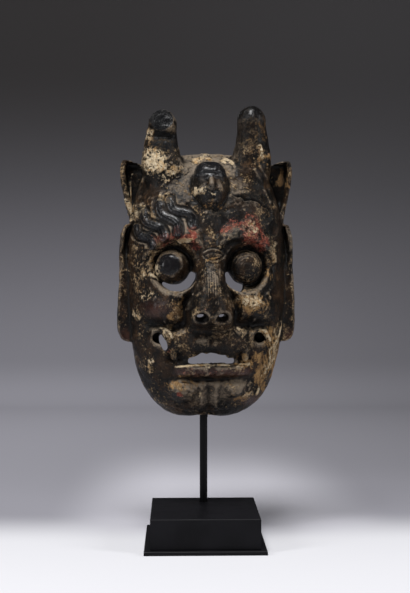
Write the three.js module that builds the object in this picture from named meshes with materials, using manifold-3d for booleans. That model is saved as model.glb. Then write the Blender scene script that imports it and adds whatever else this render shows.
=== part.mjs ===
// A carved wooden mask of a horned guardian, held at its chin by a rod on a stepped black base.
// Millimetres, +Z up. The face looks towards -Y, and the origin is the middle of the base plate's underside.
import * as THREE from 'three';
import { mergeVertices } from 'three/addons/utils/BufferGeometryUtils.js';
import Module from 'manifold-3d';

const wasm = await Module();
wasm.setup();
const { degToRad, lerp, smoothstep } = THREE.MathUtils;

// Sizes of the stand
const plateSide = 120;
const plateThickness = 4;
const blockSide = 108;
const blockHeight = 30;
const edgeBevel = 0.6; // on the plate and the block
const rodRadius = 4;
const rodSetBack = 33; // rod's axis behind the block's middle
const rodSocketDepth = 18;
const rodSides = 24;
const clearance = 0.3; // between two pieces that touch
const tongueWidth = 8;
const tongueThickness = 2.5;
const tongueReach = 7; // how far each tongue of the clip goes over the chin's wall
const clipPlay = 0.8; // the inner tongue's play above the curved wall

// How the mask sits on the rod
const chinHeight = 130; // foot line of the carving above the table
const maskShift = 2; // to the face's own left, off the rod
const maskTurn = degToRad(3);
const rodToRim = 3; // air between the rod and the back of the mask

// Sizes of the mask as a whole
const faceHeight = 266; // foot line to crown, without the horns
const chinDrop = 6; // how far the chin's rounded underside hangs below the foot line
const cheekHalfWidth = 81;
const jawHalfWidth = 78;
const wall = 10; // at the rim
const chinDepth = 50; // depths from the rim plane to the front on the middle line
const mouthDepth = 60;
const browDepth = 63;
const crownDepth = 50;
const hollowDepth = 47; // depth of the hollow behind the face
const notchDepth = 3.5; // shallow arch in the chin's underside, over the rod
const notchRadius = 48;
const outlinePower = 3; // 2 is an ellipse, more is squarer
const domePower = 2.2;

// Sizes of the carved forms. Their places below are shares of the face's half width and height.
const eyeRadius = 17.5;
const irisRadius = 10.5;
const eyeForward = 46; // eyeball's centre ahead of the rim plane
const socketDepth = 13;
const socketMargin = 5; // socket's edge outside the eyeball
const slotWidth = 7.5; // looking slot below the eyeball
const browHeight = 8;
const noseReach = 28;
const noseHalfWidth = 23.5;
const bridgeHalfWidth = 12;
const nostrilRadius = 7;
const cheekHeight = 10;
const muzzleHeight = 8;
const cornerHoleRadius = 5.3;
const cornerHoleDepth = 11; // the holes at the mouth's corners stay blind
const lipHeight = 7;
const lipThickness = 11;
const mouthWidth = 47;
const mouthGap = 12;
const hornLength = 67;
const hornBaseRadius = 21;
const hornTipRadius = 14.5;
const hornRootDepth = 32; // how far the root runs down inside the crown
const hornRootInset = 9; // root nearer the middle line than the horn's place
const hornRootAhead = 22; // ahead of the rim plane
const hornMiddleAhead = 16;
const hornTipAhead = 24;
const hornSides = 14;
const headHalfWidth = 17.5; // the little head on the forehead
const headHeight = 52;
const headDepth = 22;
const earDepth = 17;
const earPlate = 4;

// Places on the face, as [share of the cheek's half width, share of the face's height]
const eyePlace = [0.442, 0.56];
const browPlace = [0.38, 0.673];
const thirdEyePlace = [0.02, 0.6];
const noseRootPlace = [0, 0.64];
const noseTipPlace = [0, 0.387];
const cheekPlace = [0.57, 0.41];
const foldPlace = [0.52, 0.342];
const muzzlePlace = [0, 0.278];
const cornerPlace = [0.62, 0.294];
const mouthPlace = [0.03, 0.218];
const lipPlace = [0.04, 0.171];
const fangPlace = [0.44, 0.245];
const chinPlace = [0, 0.075];
const frownPlace = [0, 0.72];
const hornPlace = [0.568, 0.905];
const headPlace = [0.01, 0.854];

// crowding draws the grid's lines towards the rim, from 0 to 1
const grid = { columns: 36, rows: 52, crowding: 0.35 };
const hollowGrid = { columns: 14, rows: 18, crowding: 1 };
const headGrid = { columns: 12, rows: 14, crowding: 0.35 };

const at = ([across, up]) => ({ x: across * cheekHalfWidth, z: up * faceHeight });
const bell = (t) => (Math.abs(t) < 1 ? (1 - t * t) ** 2 : 0);
const rise = (value, low, high) => smoothstep(value, low, high);

// A value that passes smoothly through [share, value] stations
function between(stations, share) {
  const next = stations.findIndex(([place]) => share <= place);
  if (next < 0) return stations.at(-1)[1];
  if (next === 0) return stations[0][1];
  const [[from, start], [to, end]] = [stations[next - 1], stations[next]];
  return lerp(start, end, rise(share, from, to));
}

// A closed solid from three.js geometry
function toSolid(geometry) {
  const bare = geometry.index ? geometry.toNonIndexed() : geometry.clone();
  for (const name of Object.keys(bare.attributes)) if (name !== 'position') bare.deleteAttribute(name);
  const merged = mergeVertices(bare, 1e-4);
  const corners = [];
  for (let i = 0; i < merged.index.count; i += 3) {
    const [a, b, c] = [0, 1, 2].map((k) => merged.index.getX(i + k));
    if (a !== b && b !== c && c !== a) corners.push(a, b, c);
  }
  const vertProperties = merged.attributes.position.array;
  return new wasm.Manifold(new wasm.Mesh({ numProp: 3, vertProperties, triVerts: new Uint32Array(corners) }));
}

function toMesh(name, solid, material) {
  const made = solid.getMesh();
  const geometry = new THREE.BufferGeometry();
  geometry.setAttribute('position', new THREE.BufferAttribute(new Float32Array(made.vertProperties), 3));
  geometry.setIndex(new THREE.BufferAttribute(new Uint32Array(made.triVerts), 1));
  geometry.computeVertexNormals();
  const mesh = new THREE.Mesh(geometry, material);
  mesh.name = name;
  return mesh;
}

// Closed rings of points, joined in order, with a flat fan over each end
function loft(rings) {
  const count = rings[0].length;
  const points = rings.flat();
  const faces = [];
  for (let r = 0; r + 1 < rings.length; r++) {
    for (let i = 0; i < count; i++) {
      const [a, b] = [r * count + i, r * count + ((i + 1) % count)];
      faces.push(a, b, b + count, a, b + count, a + count);
    }
  }
  for (const [r, flip] of [[0, true], [rings.length - 1, false]]) {
    const middle = rings[r].reduce((sum, p) => sum.add(p), new THREE.Vector3()).divideScalar(count);
    const centre = points.push(middle) - 1;
    for (let i = 0; i < count; i++) {
      const [a, b] = [r * count + i, r * count + ((i + 1) % count)];
      faces.push(centre, flip ? b : a, flip ? a : b);
    }
  }
  const geometry = new THREE.BufferGeometry().setFromPoints(points);
  geometry.setIndex(faces);
  return geometry;
}

// A bulging front over an outline, closed by a flat back. Forward is -Y.
function makeDome({ base, top, halfWidthAt, depthAt, rimForward = 0, relief = () => 0 }) {
  const middle = (base + top) / 2;
  const half = (top - base) / 2;
  const frontAt = (x, z) => {
    const fraction = (Math.abs(x / halfWidthAt(z)) ** outlinePower + Math.abs((z - middle) / half) ** outlinePower)
      ** (1 / outlinePower);
    const arch = fraction < 0.99999 ? (1 - fraction ** domePower) ** (1 / domePower) : 0;
    return rimForward + (depthAt(z) - rimForward) * arch + relief(x, z) * rise(arch, 0.2, 0.5);
  };
  // s and t run from -1 to 1 across and up the grid
  const pointAt = (s, t, crowding) => {
    const [u, v] = [s, t].map((value) => lerp(value, Math.sin((Math.PI * value) / 2), crowding));
    const across = u * (1 - Math.abs(v) ** outlinePower / 2) ** (1 / outlinePower);
    const up = v * (1 - Math.abs(u) ** outlinePower / 2) ** (1 / outlinePower);
    const z = middle + half * up;
    const x = halfWidthAt(z) * across;
    return new THREE.Vector3(x, -frontAt(x, z), z);
  };
  const geometry = ({ columns, rows, crowding }) => {
    const points = [];
    for (let j = 0; j <= rows; j++) {
      for (let i = 0; i <= columns; i++) points.push(pointAt((2 * i) / columns - 1, (2 * j) / rows - 1, crowding));
    }
    const index = (i, j) => j * (columns + 1) + i;
    const faces = [];
    for (let j = 0; j < rows; j++) {
      for (let i = 0; i < columns; i++) {
        const [a, b, c, d] = [index(i, j), index(i + 1, j), index(i + 1, j + 1), index(i, j + 1)];
        const corners = points[a].distanceTo(points[c]) < points[b].distanceTo(points[d])
          ? [a, b, c, a, c, d] : [a, b, d, b, c, d];
        faces.push(...corners);
      }
    }
    const rim = [];
    for (let i = 0; i < columns; i++) rim.push(index(i, 0));
    for (let j = 0; j < rows; j++) rim.push(index(columns, j));
    for (let i = columns; i > 0; i--) rim.push(index(i, rows));
    for (let j = rows; j > 0; j--) rim.push(index(0, j));
    const back = points.push(new THREE.Vector3(0, -rimForward, middle)) - 1;
    rim.forEach((corner, i) => faces.push(rim[(i + 1) % rim.length], corner, back));
    const made = new THREE.BufferGeometry().setFromPoints(points);
    made.setIndex(faces);
    return made;
  };
  return { frontAt, geometry };
}

const halfWidthAt = (z) => lerp(jawHalfWidth, cheekHalfWidth, rise(z / faceHeight, 0.15, 0.45));
const depthAt = (z) => between(
  [[0, chinDepth], [0.22, mouthDepth], [0.55, browDepth], [0.75, browDepth], [1, crownDepth]], z / faceHeight);

// Relief of the face, in millimetres forward of the plain dome. side is the distance from the middle line.
function socketShare(side, z) {
  const eye = at(eyePlace);
  return Math.hypot(side - eye.x, (z - eye.z) / 1.07) / (eyeRadius + socketMargin);
}

const socket = (side, z) => -socketDepth * (1 - rise(socketShare(side, z), 0.62, 1.12));

function lowerLid(side, z) {
  const eye = at(eyePlace);
  return 4 * bell((socketShare(side, z) - 1.12) / 0.3) * rise(eye.z - z, 0, eyeRadius / 2);
}

function brow(side, z) {
  const peak = at(browPlace);
  const above = z - (peak.z - 0.0165 * (side - peak.x) ** 2);
  const edge = above > 0 ? bell(above / 18) : bell(above / 8);
  return browHeight * edge * rise(side, 5, 13) * (1 - rise(side, 0.72 * cheekHalfWidth, 0.88 * cheekHalfWidth));
}

function nose(side, z) {
  const [root, tip] = [at(noseRootPlace), at(noseTipPlace)];
  const down = (root.z - z) / (root.z - tip.z);
  const underside = 0.28 * (root.z - tip.z);
  if (down < -0.2 || tip.z - z > underside) return 0;
  const along = Math.min(Math.max(down, 0), 1);
  const under = 1 - rise(tip.z - z, 0.15 * underside, underside);
  const halfWidth = lerp(bridgeHalfWidth, noseHalfWidth, along ** 1.6);
  const across = side < halfWidth ? 1 - (side / halfWidth) ** 3 : 0;
  const reach = noseReach * (0.2 + 0.8 * Math.sin((Math.PI / 2) * along) ** 1.5);
  const ridge = reach * across * under * rise(down, -0.2, 0.05);
  const wing = 6 * bell(Math.hypot((side - 0.72 * noseHalfWidth) / 9, (z - tip.z + 3) / 10));
  const valley = 4 * bell((side - halfWidth - 2) / 7) * rise(along, 0.3, 0.75) * under;
  return ridge + wing - valley;
}

function cheek(side, z) {
  const place = at(cheekPlace);
  return cheekHeight * bell(Math.hypot((side - place.x) / 33, (z - place.z) / 21));
}

function cheekFold(side, z) {
  const place = at(foldPlace);
  const inner = rise(side, 0.2 * cheekHalfWidth, 0.32 * cheekHalfWidth);
  const outer = 1 - rise(side, 0.72 * cheekHalfWidth, 0.86 * cheekHalfWidth);
  const ends = inner * outer;
  return -5 * bell((z - place.z - 0.004 * (side - place.x) ** 2) / 8.5) * ends;
}

function muzzle(side, z) {
  const [middle, corner] = [at(muzzlePlace), at(cornerPlace)];
  const curl = Math.hypot(side - corner.x, z - corner.z) - 1.6 * cornerHoleRadius;
  return muzzleHeight * bell(Math.hypot(side / 52, (z - middle.z) / 24)) + 4 * bell(curl / 5);
}

function mouthEnds(side, z) {
  const place = at(mouthPlace);
  return -6 * bell(Math.hypot((side - 0.42 * cheekHalfWidth) / 14, (z - place.z - 1) / 8));
}

function lowerLip(x, z) {
  const place = at(lipPlace);
  const off = (z - place.z) / (lipThickness / 2);
  const along = Math.abs(x - place.x) / (0.49 * cheekHalfWidth);
  const dip = 1 - 0.35 * bell((x - place.x) / 7);
  return along < 1 && Math.abs(off) < 1 ? lipHeight * (1 - off ** 4) * (1 - along ** 4) * dip : 0;
}

function chin(side, z) {
  const place = at(chinPlace);
  const boss = 6 * bell(Math.hypot(side / 54, (z - place.z) / 26));
  const lobes = 5 * bell(Math.hypot((side - 30) / 21, (z - place.z - 7) / 19));
  const cleft = 4.5 * bell(side / 8) * bell((z - place.z) / 26);
  const crease = 3 * bell(side / 52) * bell((z - 0.136 * faceHeight) / 5);
  return boss + lobes - cleft - crease;
}

function frown(side, z) {
  const place = at(frownPlace);
  return 4 * bell(Math.hypot(side / 12, (z - place.z) / 26));
}

function faceRelief(x, z) {
  const side = Math.abs(x);
  return [socket, lowerLid, brow, nose, cheek, cheekFold, muzzle, mouthEnds, chin, frown]
    .reduce((sum, form) => sum + form(side, z), lowerLip(x, z));
}

const face = makeDome({ base: -chinDrop, top: faceHeight, halfWidthAt, depthAt, relief: faceRelief });

// The hollow behind the face, with wood left behind the eyes and a pocket in the nose
const hollowBehind = 5; // how far the cut starts behind the rim plane
function hollowRelief(x, z) {
  const [eye, tip] = [at(eyePlace), at(noseTipPlace)];
  const side = Math.abs(x);
  return 15 * bell(Math.hypot(side / 18, (z - tip.z - 4) / 34))
    - 9 * bell(Math.hypot(side - eye.x, z - eye.z) / (1.6 * eyeRadius));
}
const hollow = makeDome({
  base: wall - chinDrop,
  top: faceHeight - wall,
  halfWidthAt: (z) => halfWidthAt(z) - wall,
  depthAt: () => hollowDepth,
  rimForward: -hollowBehind,
  relief: hollowRelief,
});

// A flat shape in x and z, cut or raised from back to front
function prism(shape, back, front, curveSegments = 10) {
  const geometry = new THREE.ExtrudeGeometry(shape, { depth: front - back, bevelEnabled: false, curveSegments });
  return toSolid(geometry.rotateX(Math.PI / 2).translate(0, -back, 0));
}

function ellipsoid(centre, radii, segments = [10, 6]) {
  return toSolid(new THREE.SphereGeometry(1, ...segments).scale(...radii).translate(...centre));
}

const frontPoint = (x, z, lift = 0) => new THREE.Vector3(x, -(face.frontAt(x, z) + lift), z);

// A tapering ridge that lies on the face: width across it, height forward
function ridge(path, widthAt, heightAt, steps, sides = 6) {
  const rings = [];
  for (let i = 0; i <= steps; i++) {
    const share = i / steps;
    const [here, ahead, behind] = [path(share), path(Math.min(share + 0.02, 1)), path(Math.max(share - 0.02, 0))];
    const along = new THREE.Vector2(ahead[0] - behind[0], ahead[1] - behind[1]).normalize();
    const centre = frontPoint(here[0], here[1]);
    rings.push(Array.from({ length: sides }, (_, k) => {
      const turn = (2 * Math.PI * (k + 0.5)) / sides;
      const out = (Math.cos(turn) * widthAt(share)) / 2;
      return new THREE.Vector3(
        centre.x + along.y * out, centre.y + Math.sin(turn) * heightAt(share), centre.z - along.x * out);
    }));
  }
  return toSolid(loft(rings));
}

function eyeball(side) {
  const eye = at(eyePlace);
  const profile = [];
  const steps = 9;
  const pupil = 0.42 * irisRadius;
  for (let i = 0; i <= steps; i++) {
    const turn = (Math.PI * i) / steps - Math.PI / 2;
    profile.push([eyeRadius * Math.cos(turn), eyeRadius * Math.sin(turn)]);
  }
  const ahead = (radius) => Math.sqrt(eyeRadius ** 2 - radius ** 2);
  const rim = profile.filter(([radius, height]) => height < 0 || radius > irisRadius + 0.5);
  const rings = [[irisRadius, ahead(irisRadius)], [irisRadius - 1.2, ahead(irisRadius) + 1.4],
    [pupil + 1, ahead(pupil) + 1], [pupil, ahead(pupil) - 0.4], [0, ahead(pupil) - 0.4]];
  const points = [...rim, ...rings].map(([radius, height]) => new THREE.Vector2(Math.max(radius, 0), height));
  points[0].x = 0;
  const geometry = new THREE.LatheGeometry(points, 16).rotateX(Math.PI);
  return toSolid(geometry.translate(side * eye.x, -eyeForward, eye.z));
}

// The looking slot: open below and on the nose's side of each eyeball
function eyeSlot(side) {
  const eye = at(eyePlace);
  const [across, up] = [eyeRadius + slotWidth / 7, eyeRadius + slotWidth / 4];
  const centre = [side * (eye.x - slotWidth / 2), eye.z - 0.76 * slotWidth];
  const [start, end] = side < 0 ? [-145, -2] : [-178, -35];
  const shape = new THREE.Shape();
  shape.absellipse(...centre, across, up, degToRad(start), degToRad(end), false, 0);
  shape.lineTo(side * (eye.x + 2), eye.z + 2);
  return prism(shape, 0, browDepth + noseReach, 8);
}

function mouthCut() {
  const place = at(mouthPlace);
  const [left, right] = [place.x - mouthWidth / 2, place.x + mouthWidth / 2];
  // The broken upper teeth, as [share of the width, share of the gap]
  const teeth = [[1, 0.56], [0.83, 0.55], [0.81, 0.79], [0.63, 0.84], [0.45, 1], [0.24, 0.95], [0.14, 0.67], [0, 0.5]];
  const shape = new THREE.Shape();
  shape.moveTo(left, place.z - mouthGap / 2 + 0.3);
  shape.lineTo(right, place.z - mouthGap / 2);
  for (const [share, open] of teeth) shape.lineTo(lerp(left, right, share), place.z + mouthGap * (open - 0.5));
  return prism(shape, 0, browDepth + noseReach);
}

function nostril(side) {
  const tip = at(noseTipPlace);
  const [x, z] = [side * 0.45 * noseHalfWidth, tip.z - 5];
  const shape = new THREE.Shape();
  shape.absellipse(x, z + 0.5 * nostrilRadius, 0.72 * nostrilRadius, 0.32 * nostrilRadius, 0, 2 * Math.PI, false, 0);
  const pit = ellipsoid([x, -(face.frontAt(x, z) - 1), z], [nostrilRadius, 9, nostrilRadius]);
  return pit.add(prism(shape, hollowDepth, browDepth + noseReach, 5));
}

// Round holes at the curled ends of the mouth, drilled towards the sides. The left one has split open downwards.
function cornerHole(side) {
  const place = at(cornerPlace);
  const ahead = 12; // how far the drill stands out in front
  const length = ahead + cornerHoleDepth;
  const drill = new THREE.CylinderGeometry(cornerHoleRadius, cornerHoleRadius, length, 12);
  drill.translate(0, ahead - length / 2, 0).rotateX(Math.PI).rotateZ(side * degToRad(12));
  const front = frontPoint(side * place.x, place.z);
  return toSolid(drill.translate(front.x, front.y, front.z));
}

function cornerSplit() {
  const place = at(cornerPlace);
  const shape = new THREE.Shape();
  const [x, z] = [-place.x + 0.9 * cornerHoleRadius, place.z - cornerHoleRadius];
  const [halfWidth, halfHeight] = [0.6 * cornerHoleRadius, 1.6 * cornerHoleRadius];
  shape.absellipse(x, z, halfWidth, halfHeight, 0, 2 * Math.PI, false, degToRad(20));
  return prism(shape, 0, browDepth + noseReach, 6);
}

function fang(side) {
  const place = at(fangPlace);
  const x = side * place.x;
  return ellipsoid([x, -face.frontAt(x, place.z), place.z], [4.2, 4.5, 9.5], [8, 6]);
}

function thirdEye() {
  const place = at(thirdEyePlace);
  const [halfWidth, halfOpen] = [10, 3.6];
  const sunk = 1.4; // deep enough that no gap is left under the ball's ends
  const front = face.frontAt(place.x, place.z) - sunk;
  const ball = ellipsoid([place.x, -front, place.z], [0.85 * halfWidth, 3, halfOpen]);
  const lid = (up, bow) => ridge(
    (share) => [place.x + halfWidth * (2 * share - 1), place.z + up + bow * Math.sin(Math.PI * share)],
    () => 3, () => 2.6, 5);
  return [ball, lid(0.4, halfOpen + 1), lid(-0.8, -halfOpen), lid(3.6, halfOpen + 1)];
}

// Flame-shaped locks of the brow: root and tip as shares of the half width and height, then width and height.
const locks = [
  { root: [0.2, 0.72], tip: [0.49, 0.81], width: 9, height: 7.5 },
  { root: [0.4, 0.685], tip: [0.61, 0.8], width: 9, height: 8 },
  { root: [0.57, 0.665], tip: [0.8, 0.768], width: 9.5, height: 7.5 },
  { root: [0.7, 0.635], tip: [0.89, 0.712], width: 9, height: 7 },
];

function browLock(side, { root, tip, width, height }) {
  const [from, to] = [at(root), at(tip)];
  const [across, up] = [to.x - from.x, to.z - from.z];
  const sway = 0.19;
  // The right brow is worn lower than the left
  const worn = side > 0 ? 0.65 : 1;
  const path = (share) => {
    const swing = sway * Math.sin(2 * Math.PI * share);
    return [side * (from.x + across * share - up * swing), from.z + up * share + across * swing];
  };
  const swell = (share) => 0.2 + 0.8 * Math.sin(Math.PI * (0.2 + 0.78 * share)) ** 0.8;
  return ridge(path, (share) => width * swell(share), (share) => height * worn * swell(share), 7);
}

// The little head on the forehead, with a cap of hair over its brow
function foreheadHead() {
  const half = headHeight / 2;
  const [w, h] = [headHalfWidth, half];
  const relief = (x, z) => {
    const side = Math.abs(x);
    const hairLine = 0.4 * h - 0.08 * h * (side / w) ** 2;
    const hair = 2.6 * rise(z - hairLine, -1, 1.2);
    const sockets = -2.2 * bell(Math.hypot((side - 0.44 * w) / (0.36 * w), (z - 0.1 * h) / (0.2 * h)));
    const eyes = 1.6 * bell(Math.hypot((side - 0.44 * w) / (0.22 * w), (z - 0.08 * h) / (0.1 * h)));
    const noseWidth = lerp(0.18, 0.36, rise(-z, -0.2 * h, 0.35 * h)) * w;
    const bridge = 5 * bell(side / noseWidth) * rise(z, -0.48 * h, -0.34 * h) * (1 - rise(z, -0.1 * h, 0.3 * h));
    const lips = 2 * bell(side / (0.5 * w)) * (bell((z + 0.52 * h) / (0.1 * h)) + bell((z + 0.7 * h) / (0.1 * h)));
    const cheeks = 2.4 * bell(Math.hypot((side - 0.52 * w) / (0.36 * w), (z + 0.32 * h) / (0.26 * h)));
    return hair + sockets + eyes + bridge + lips + cheeks;
  };
  const jaw = 0.72; // jaw's width over the brow's
  const dome = makeDome({
    base: -half,
    top: half,
    halfWidthAt: (z) => w * lerp(jaw, 1, rise(z / h, -0.9, -0.1)),
    depthAt: () => headDepth,
    relief,
  });
  const place = at(headPlace);
  const lean = degToRad(14);
  const behind = 0.16 * headDepth;
  const geometry = dome.geometry(headGrid).rotateX(-lean);
  return toSolid(geometry.translate(place.x, -(face.frontAt(place.x, place.z) - behind), place.z));
}

function horn(side) {
  const place = at(hornPlace);
  const taller = side > 0 ? 5 : 0;
  const curve = new THREE.CatmullRomCurve3([
    new THREE.Vector3(side * (place.x - hornRootInset), -hornRootAhead, place.z - hornRootDepth),
    new THREE.Vector3(side * place.x, -hornMiddleAhead, place.z + 0.25 * hornLength),
    new THREE.Vector3(side * (place.x - 1.5), -hornTipAhead, place.z + hornLength + taller),
  ]);
  const rounding = 0.85; // where the tip starts to close
  const shares = [0, 0.25, 0.45, 0.65, rounding, 0.91, 0.95, 0.98, 0.995];
  const girth = [[0, 0.6 * hornBaseRadius], [0.4, hornBaseRadius], [rounding, hornTipRadius]];
  const across = new THREE.Vector3(1, 0, 0);
  const rings = shares.map((share) => {
    const closing = Math.max((share - rounding) / (1 - rounding), 0);
    const radius = between(girth, share) * Math.sqrt(1 - closing ** 2);
    const centre = curve.getPointAt(share);
    const up = curve.getTangentAt(share);
    const normal = across.clone().addScaledVector(up, -across.dot(up)).normalize();
    const binormal = new THREE.Vector3().crossVectors(up, normal);
    return Array.from({ length: hornSides }, (_, k) => {
      const turn = (2 * Math.PI * k) / hornSides;
      return centre.clone().addScaledVector(normal, Math.cos(turn) * radius)
        .addScaledVector(binormal, Math.sin(turn) * radius);
    });
  });
  return toSolid(loft(rings));
}

// An ear leaf, carved as a plate that runs out from the mask's side and turns forward into a cupped edge.
// Each station is [share of the face's height, root, outer edge, cup], in millimetres across and deep.
function earLeaf(side, stations) {
  const rings = stations.map(([up, root, outer, cup]) => {
    const z = up * faceHeight;
    const lip = outer - earPlate;
    const outline = [[root, 0], [outer - 2, 0], [outer, 3], [outer, earDepth - 2], [outer - 1.5, earDepth],
      [lip, earDepth - 1], [lip - 1, earDepth - 1 - cup], [root, earDepth - 1 - cup]];
    const points = outline.map(([x, forward]) => new THREE.Vector3(side * x, -forward, z));
    return side > 0 ? points.reverse() : points;
  });
  return toSolid(loft(rings));
}

function ears(side) {
  const width = (share) => share * cheekHalfWidth;
  const cupDepth = earDepth - 1 - earPlate;
  const upper = [
    [0.725, width(0.9), width(0.965), 1], [0.765, width(0.84), width(0.99), 0.7 * cupDepth],
    [0.82, width(0.75), width(1.035), cupDepth], [0.88, width(0.68), width(1.07), cupDepth],
    [0.925, width(0.66), width(1.085), cupDepth], [0.955, width(0.8), width(1.07), cupDepth],
    [0.968, width(0.96), width(1.055), 1],
  ];
  const lower = [
    [0.275, width(0.85), width(1.0), 0], [0.283, width(0.85), width(1.075), 0], [0.31, width(0.85), width(1.115), 0],
    [0.36, width(0.85), width(1.13), 0], [0.43, width(0.85), width(1.12), 0.5], [0.55, width(0.85), width(1.1), 1],
    [0.62, width(0.85), width(1.105), 0.6 * cupDepth], [0.68, width(0.82), width(1.085), cupDepth],
    [0.715, width(0.88), width(1.05), 0.6 * cupDepth], [0.724, width(0.93), width(1.03), 1],
  ];
  return [earLeaf(side, upper), earLeaf(side, lower)];
}

// Everything behind the rim plane, so that horns and ears end flush with the mask's back
function behindRim() {
  const [across, deep] = [4 * cheekHalfWidth, 60];
  return toSolid(new THREE.BoxGeometry(across, deep, 2 * faceHeight).translate(0, deep / 2, faceHeight / 2));
}

function chinNotch() {
  const length = 2 * browDepth;
  const drum = new THREE.CylinderGeometry(notchRadius, notchRadius, length, 60);
  drum.translate(-maskShift, 0, 0).rotateZ(-maskTurn).translate(0, 0, notchDepth - notchRadius - chinDrop);
  return toSolid(drum);
}

const notchHeightAt = (x) => notchDepth - notchRadius - chinDrop + Math.sqrt(notchRadius ** 2 - x ** 2);

function carveMask() {
  const sides = [-1, 1];
  let mask = toSolid(face.geometry(grid));
  for (const side of sides) mask = mask.subtract(eyeSlot(side));
  const raised = sides.flatMap((side) => [
    eyeball(side), fang(side), horn(side), ...ears(side), ...locks.map((lock) => browLock(side, lock))]);
  for (const form of [...raised, ...thirdEye(), foreheadHead()]) mask = mask.add(form);
  mask = mask.subtract(toSolid(hollow.geometry(hollowGrid)));
  const holes = sides.flatMap((side) => [nostril(side), cornerHole(side)]);
  for (const cut of [behindRim(), chinNotch(), mouthCut(), cornerSplit(), ...holes]) {
    mask = mask.subtract(cut);
  }
  return mask;
}

// Stand
function bevelledSlab(side, height) {
  const half = side / 2 - edgeBevel;
  const shape = new THREE.Shape();
  shape.moveTo(-half, -half).lineTo(half, -half).lineTo(half, half).lineTo(-half, half).closePath();
  const geometry = new THREE.ExtrudeGeometry(shape, {
    depth: height - 2 * edgeBevel, bevelSize: edgeBevel, bevelThickness: edgeBevel, bevelSegments: 1,
  });
  return toSolid(geometry.translate(0, 0, edgeBevel));
}

const blockTop = plateThickness + blockHeight;
const rodAxis = rodSetBack;
const rimY = rodAxis - rodRadius - rodToRim;

function baseBlock() {
  const hole = new THREE.CylinderGeometry(rodRadius + clearance, rodRadius + clearance, 2 * rodSocketDepth, rodSides);
  hole.rotateX(Math.PI / 2).translate(0, rodAxis, blockHeight);
  return bevelledSlab(blockSide, blockHeight).subtract(toSolid(hole));
}

// Height of the chin's inner face above the foot line, at a distance ahead of the rim plane
function chinWallAt(forward) {
  const arch = (forward + hollowBehind) / (hollowDepth + hollowBehind);
  const half = (faceHeight + chinDrop) / 2 - wall;
  return (faceHeight - chinDrop) / 2 - half * (1 - arch ** domePower) ** (1 / domePower);
}

// The rod, with two tongues brazed on that grip the chin's wall from below and from inside
function rodWithClip() {
  const foot = blockTop - rodSocketDepth;
  const under = chinHeight + notchHeightAt(tongueWidth / 2) - clearance - tongueThickness;
  const inside = chinHeight + chinWallAt(tongueReach) + clipPlay;
  const top = inside + tongueThickness;
  const profile = [[0, foot], [rodRadius, foot], [rodRadius, top - 1], [rodRadius - 1, top], [0, top]];
  const rod = new THREE.LatheGeometry(profile.map(([radius, height]) => new THREE.Vector2(radius, height)), rodSides);
  const tongue = (lowest) => {
    const length = rodToRim + rodRadius + tongueReach;
    const box = new THREE.BoxGeometry(tongueWidth, length, tongueThickness);
    return toSolid(box.translate(0, rodAxis - length / 2, lowest + tongueThickness / 2));
  };
  return toSolid(rod.rotateX(Math.PI / 2).translate(0, rodAxis, 0))
    .add(tongue(under)).add(tongue(inside));
}

const darkWood = new THREE.MeshStandardMaterial({ color: 0x3a322b, roughness: 0.62, metalness: 0 });
const blackRod = new THREE.MeshStandardMaterial({ color: 0x0c0c0e, roughness: 0.4, metalness: 0.3 });
const blackPaint = new THREE.MeshStandardMaterial({ color: 0x141415, roughness: 0.6, metalness: 0 });

const mask = toMesh('mask', carveMask(), darkWood);
mask.position.set(maskShift, rimY, chinHeight);
mask.rotation.z = maskTurn;

const rod = toMesh('rod_with_clip', rodWithClip(), blackRod);

const block = toMesh('base_block', baseBlock(), blackPaint);
block.position.z = plateThickness;

const plate = toMesh('base_plate', bevelledSlab(plateSide, plateThickness), blackPaint);

const model = new THREE.Group();
model.add(mask, rod, block, plate);

export default model;
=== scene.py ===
import math

import bmesh
import bpy
import numpy as np
from mathutils import Matrix, Vector


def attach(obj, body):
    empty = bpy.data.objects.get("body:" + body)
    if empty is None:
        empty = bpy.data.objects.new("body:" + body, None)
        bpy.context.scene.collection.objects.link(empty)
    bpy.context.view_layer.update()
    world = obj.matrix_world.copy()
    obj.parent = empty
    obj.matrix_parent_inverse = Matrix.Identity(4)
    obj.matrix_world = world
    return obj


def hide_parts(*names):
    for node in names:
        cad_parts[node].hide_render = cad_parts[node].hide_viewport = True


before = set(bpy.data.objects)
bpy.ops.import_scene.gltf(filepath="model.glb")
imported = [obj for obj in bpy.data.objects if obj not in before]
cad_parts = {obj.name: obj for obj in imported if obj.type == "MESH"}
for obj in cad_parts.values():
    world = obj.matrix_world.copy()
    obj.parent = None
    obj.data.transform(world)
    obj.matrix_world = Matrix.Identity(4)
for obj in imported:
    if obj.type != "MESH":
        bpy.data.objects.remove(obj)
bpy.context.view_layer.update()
print("frame loaded")

# Mask geometry is worked out in millimetres: x to the right, y backwards, z up from the chin's underside
maskPlace = {"shift": (2.0, 26.0, 130.0), "turn": math.radians(3)}

faceSize = {
    "height": 266.0,
    "cheek": 81.0,
    "jaw": 78.0,
    "chinDrop": 6.0,
    "outlinePower": 3.0,
    "domePower": 2.2,
    "hollowDepth": 47.0,
    "hollowBehind": 5.0,
    "wall": 10.0,
    "edgeCrowding": 0.35,  # how closely the grid's lines stand at the outline
    "columns": 150,
    "rows": 230,
    "voxel": 1.2,
}
cutterFront = 91  # ahead of the whole face


def bell(t):
    return np.where(np.abs(t) < 1, (1 - np.minimum(t * t, 1)) ** 2, 0.0)


def rise(value, low, high):
    t = np.clip((value - low) / (high - low), 0, 1)
    return t * t * (3 - 2 * t)


def between(stations, share):
    result = np.full(np.shape(share), float(stations[0][1]))
    for (fromShare, start), (toShare, end) in zip(stations, stations[1:]):
        result = result + (end - start) * rise(share, fromShare, toShare)
    return result


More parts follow.
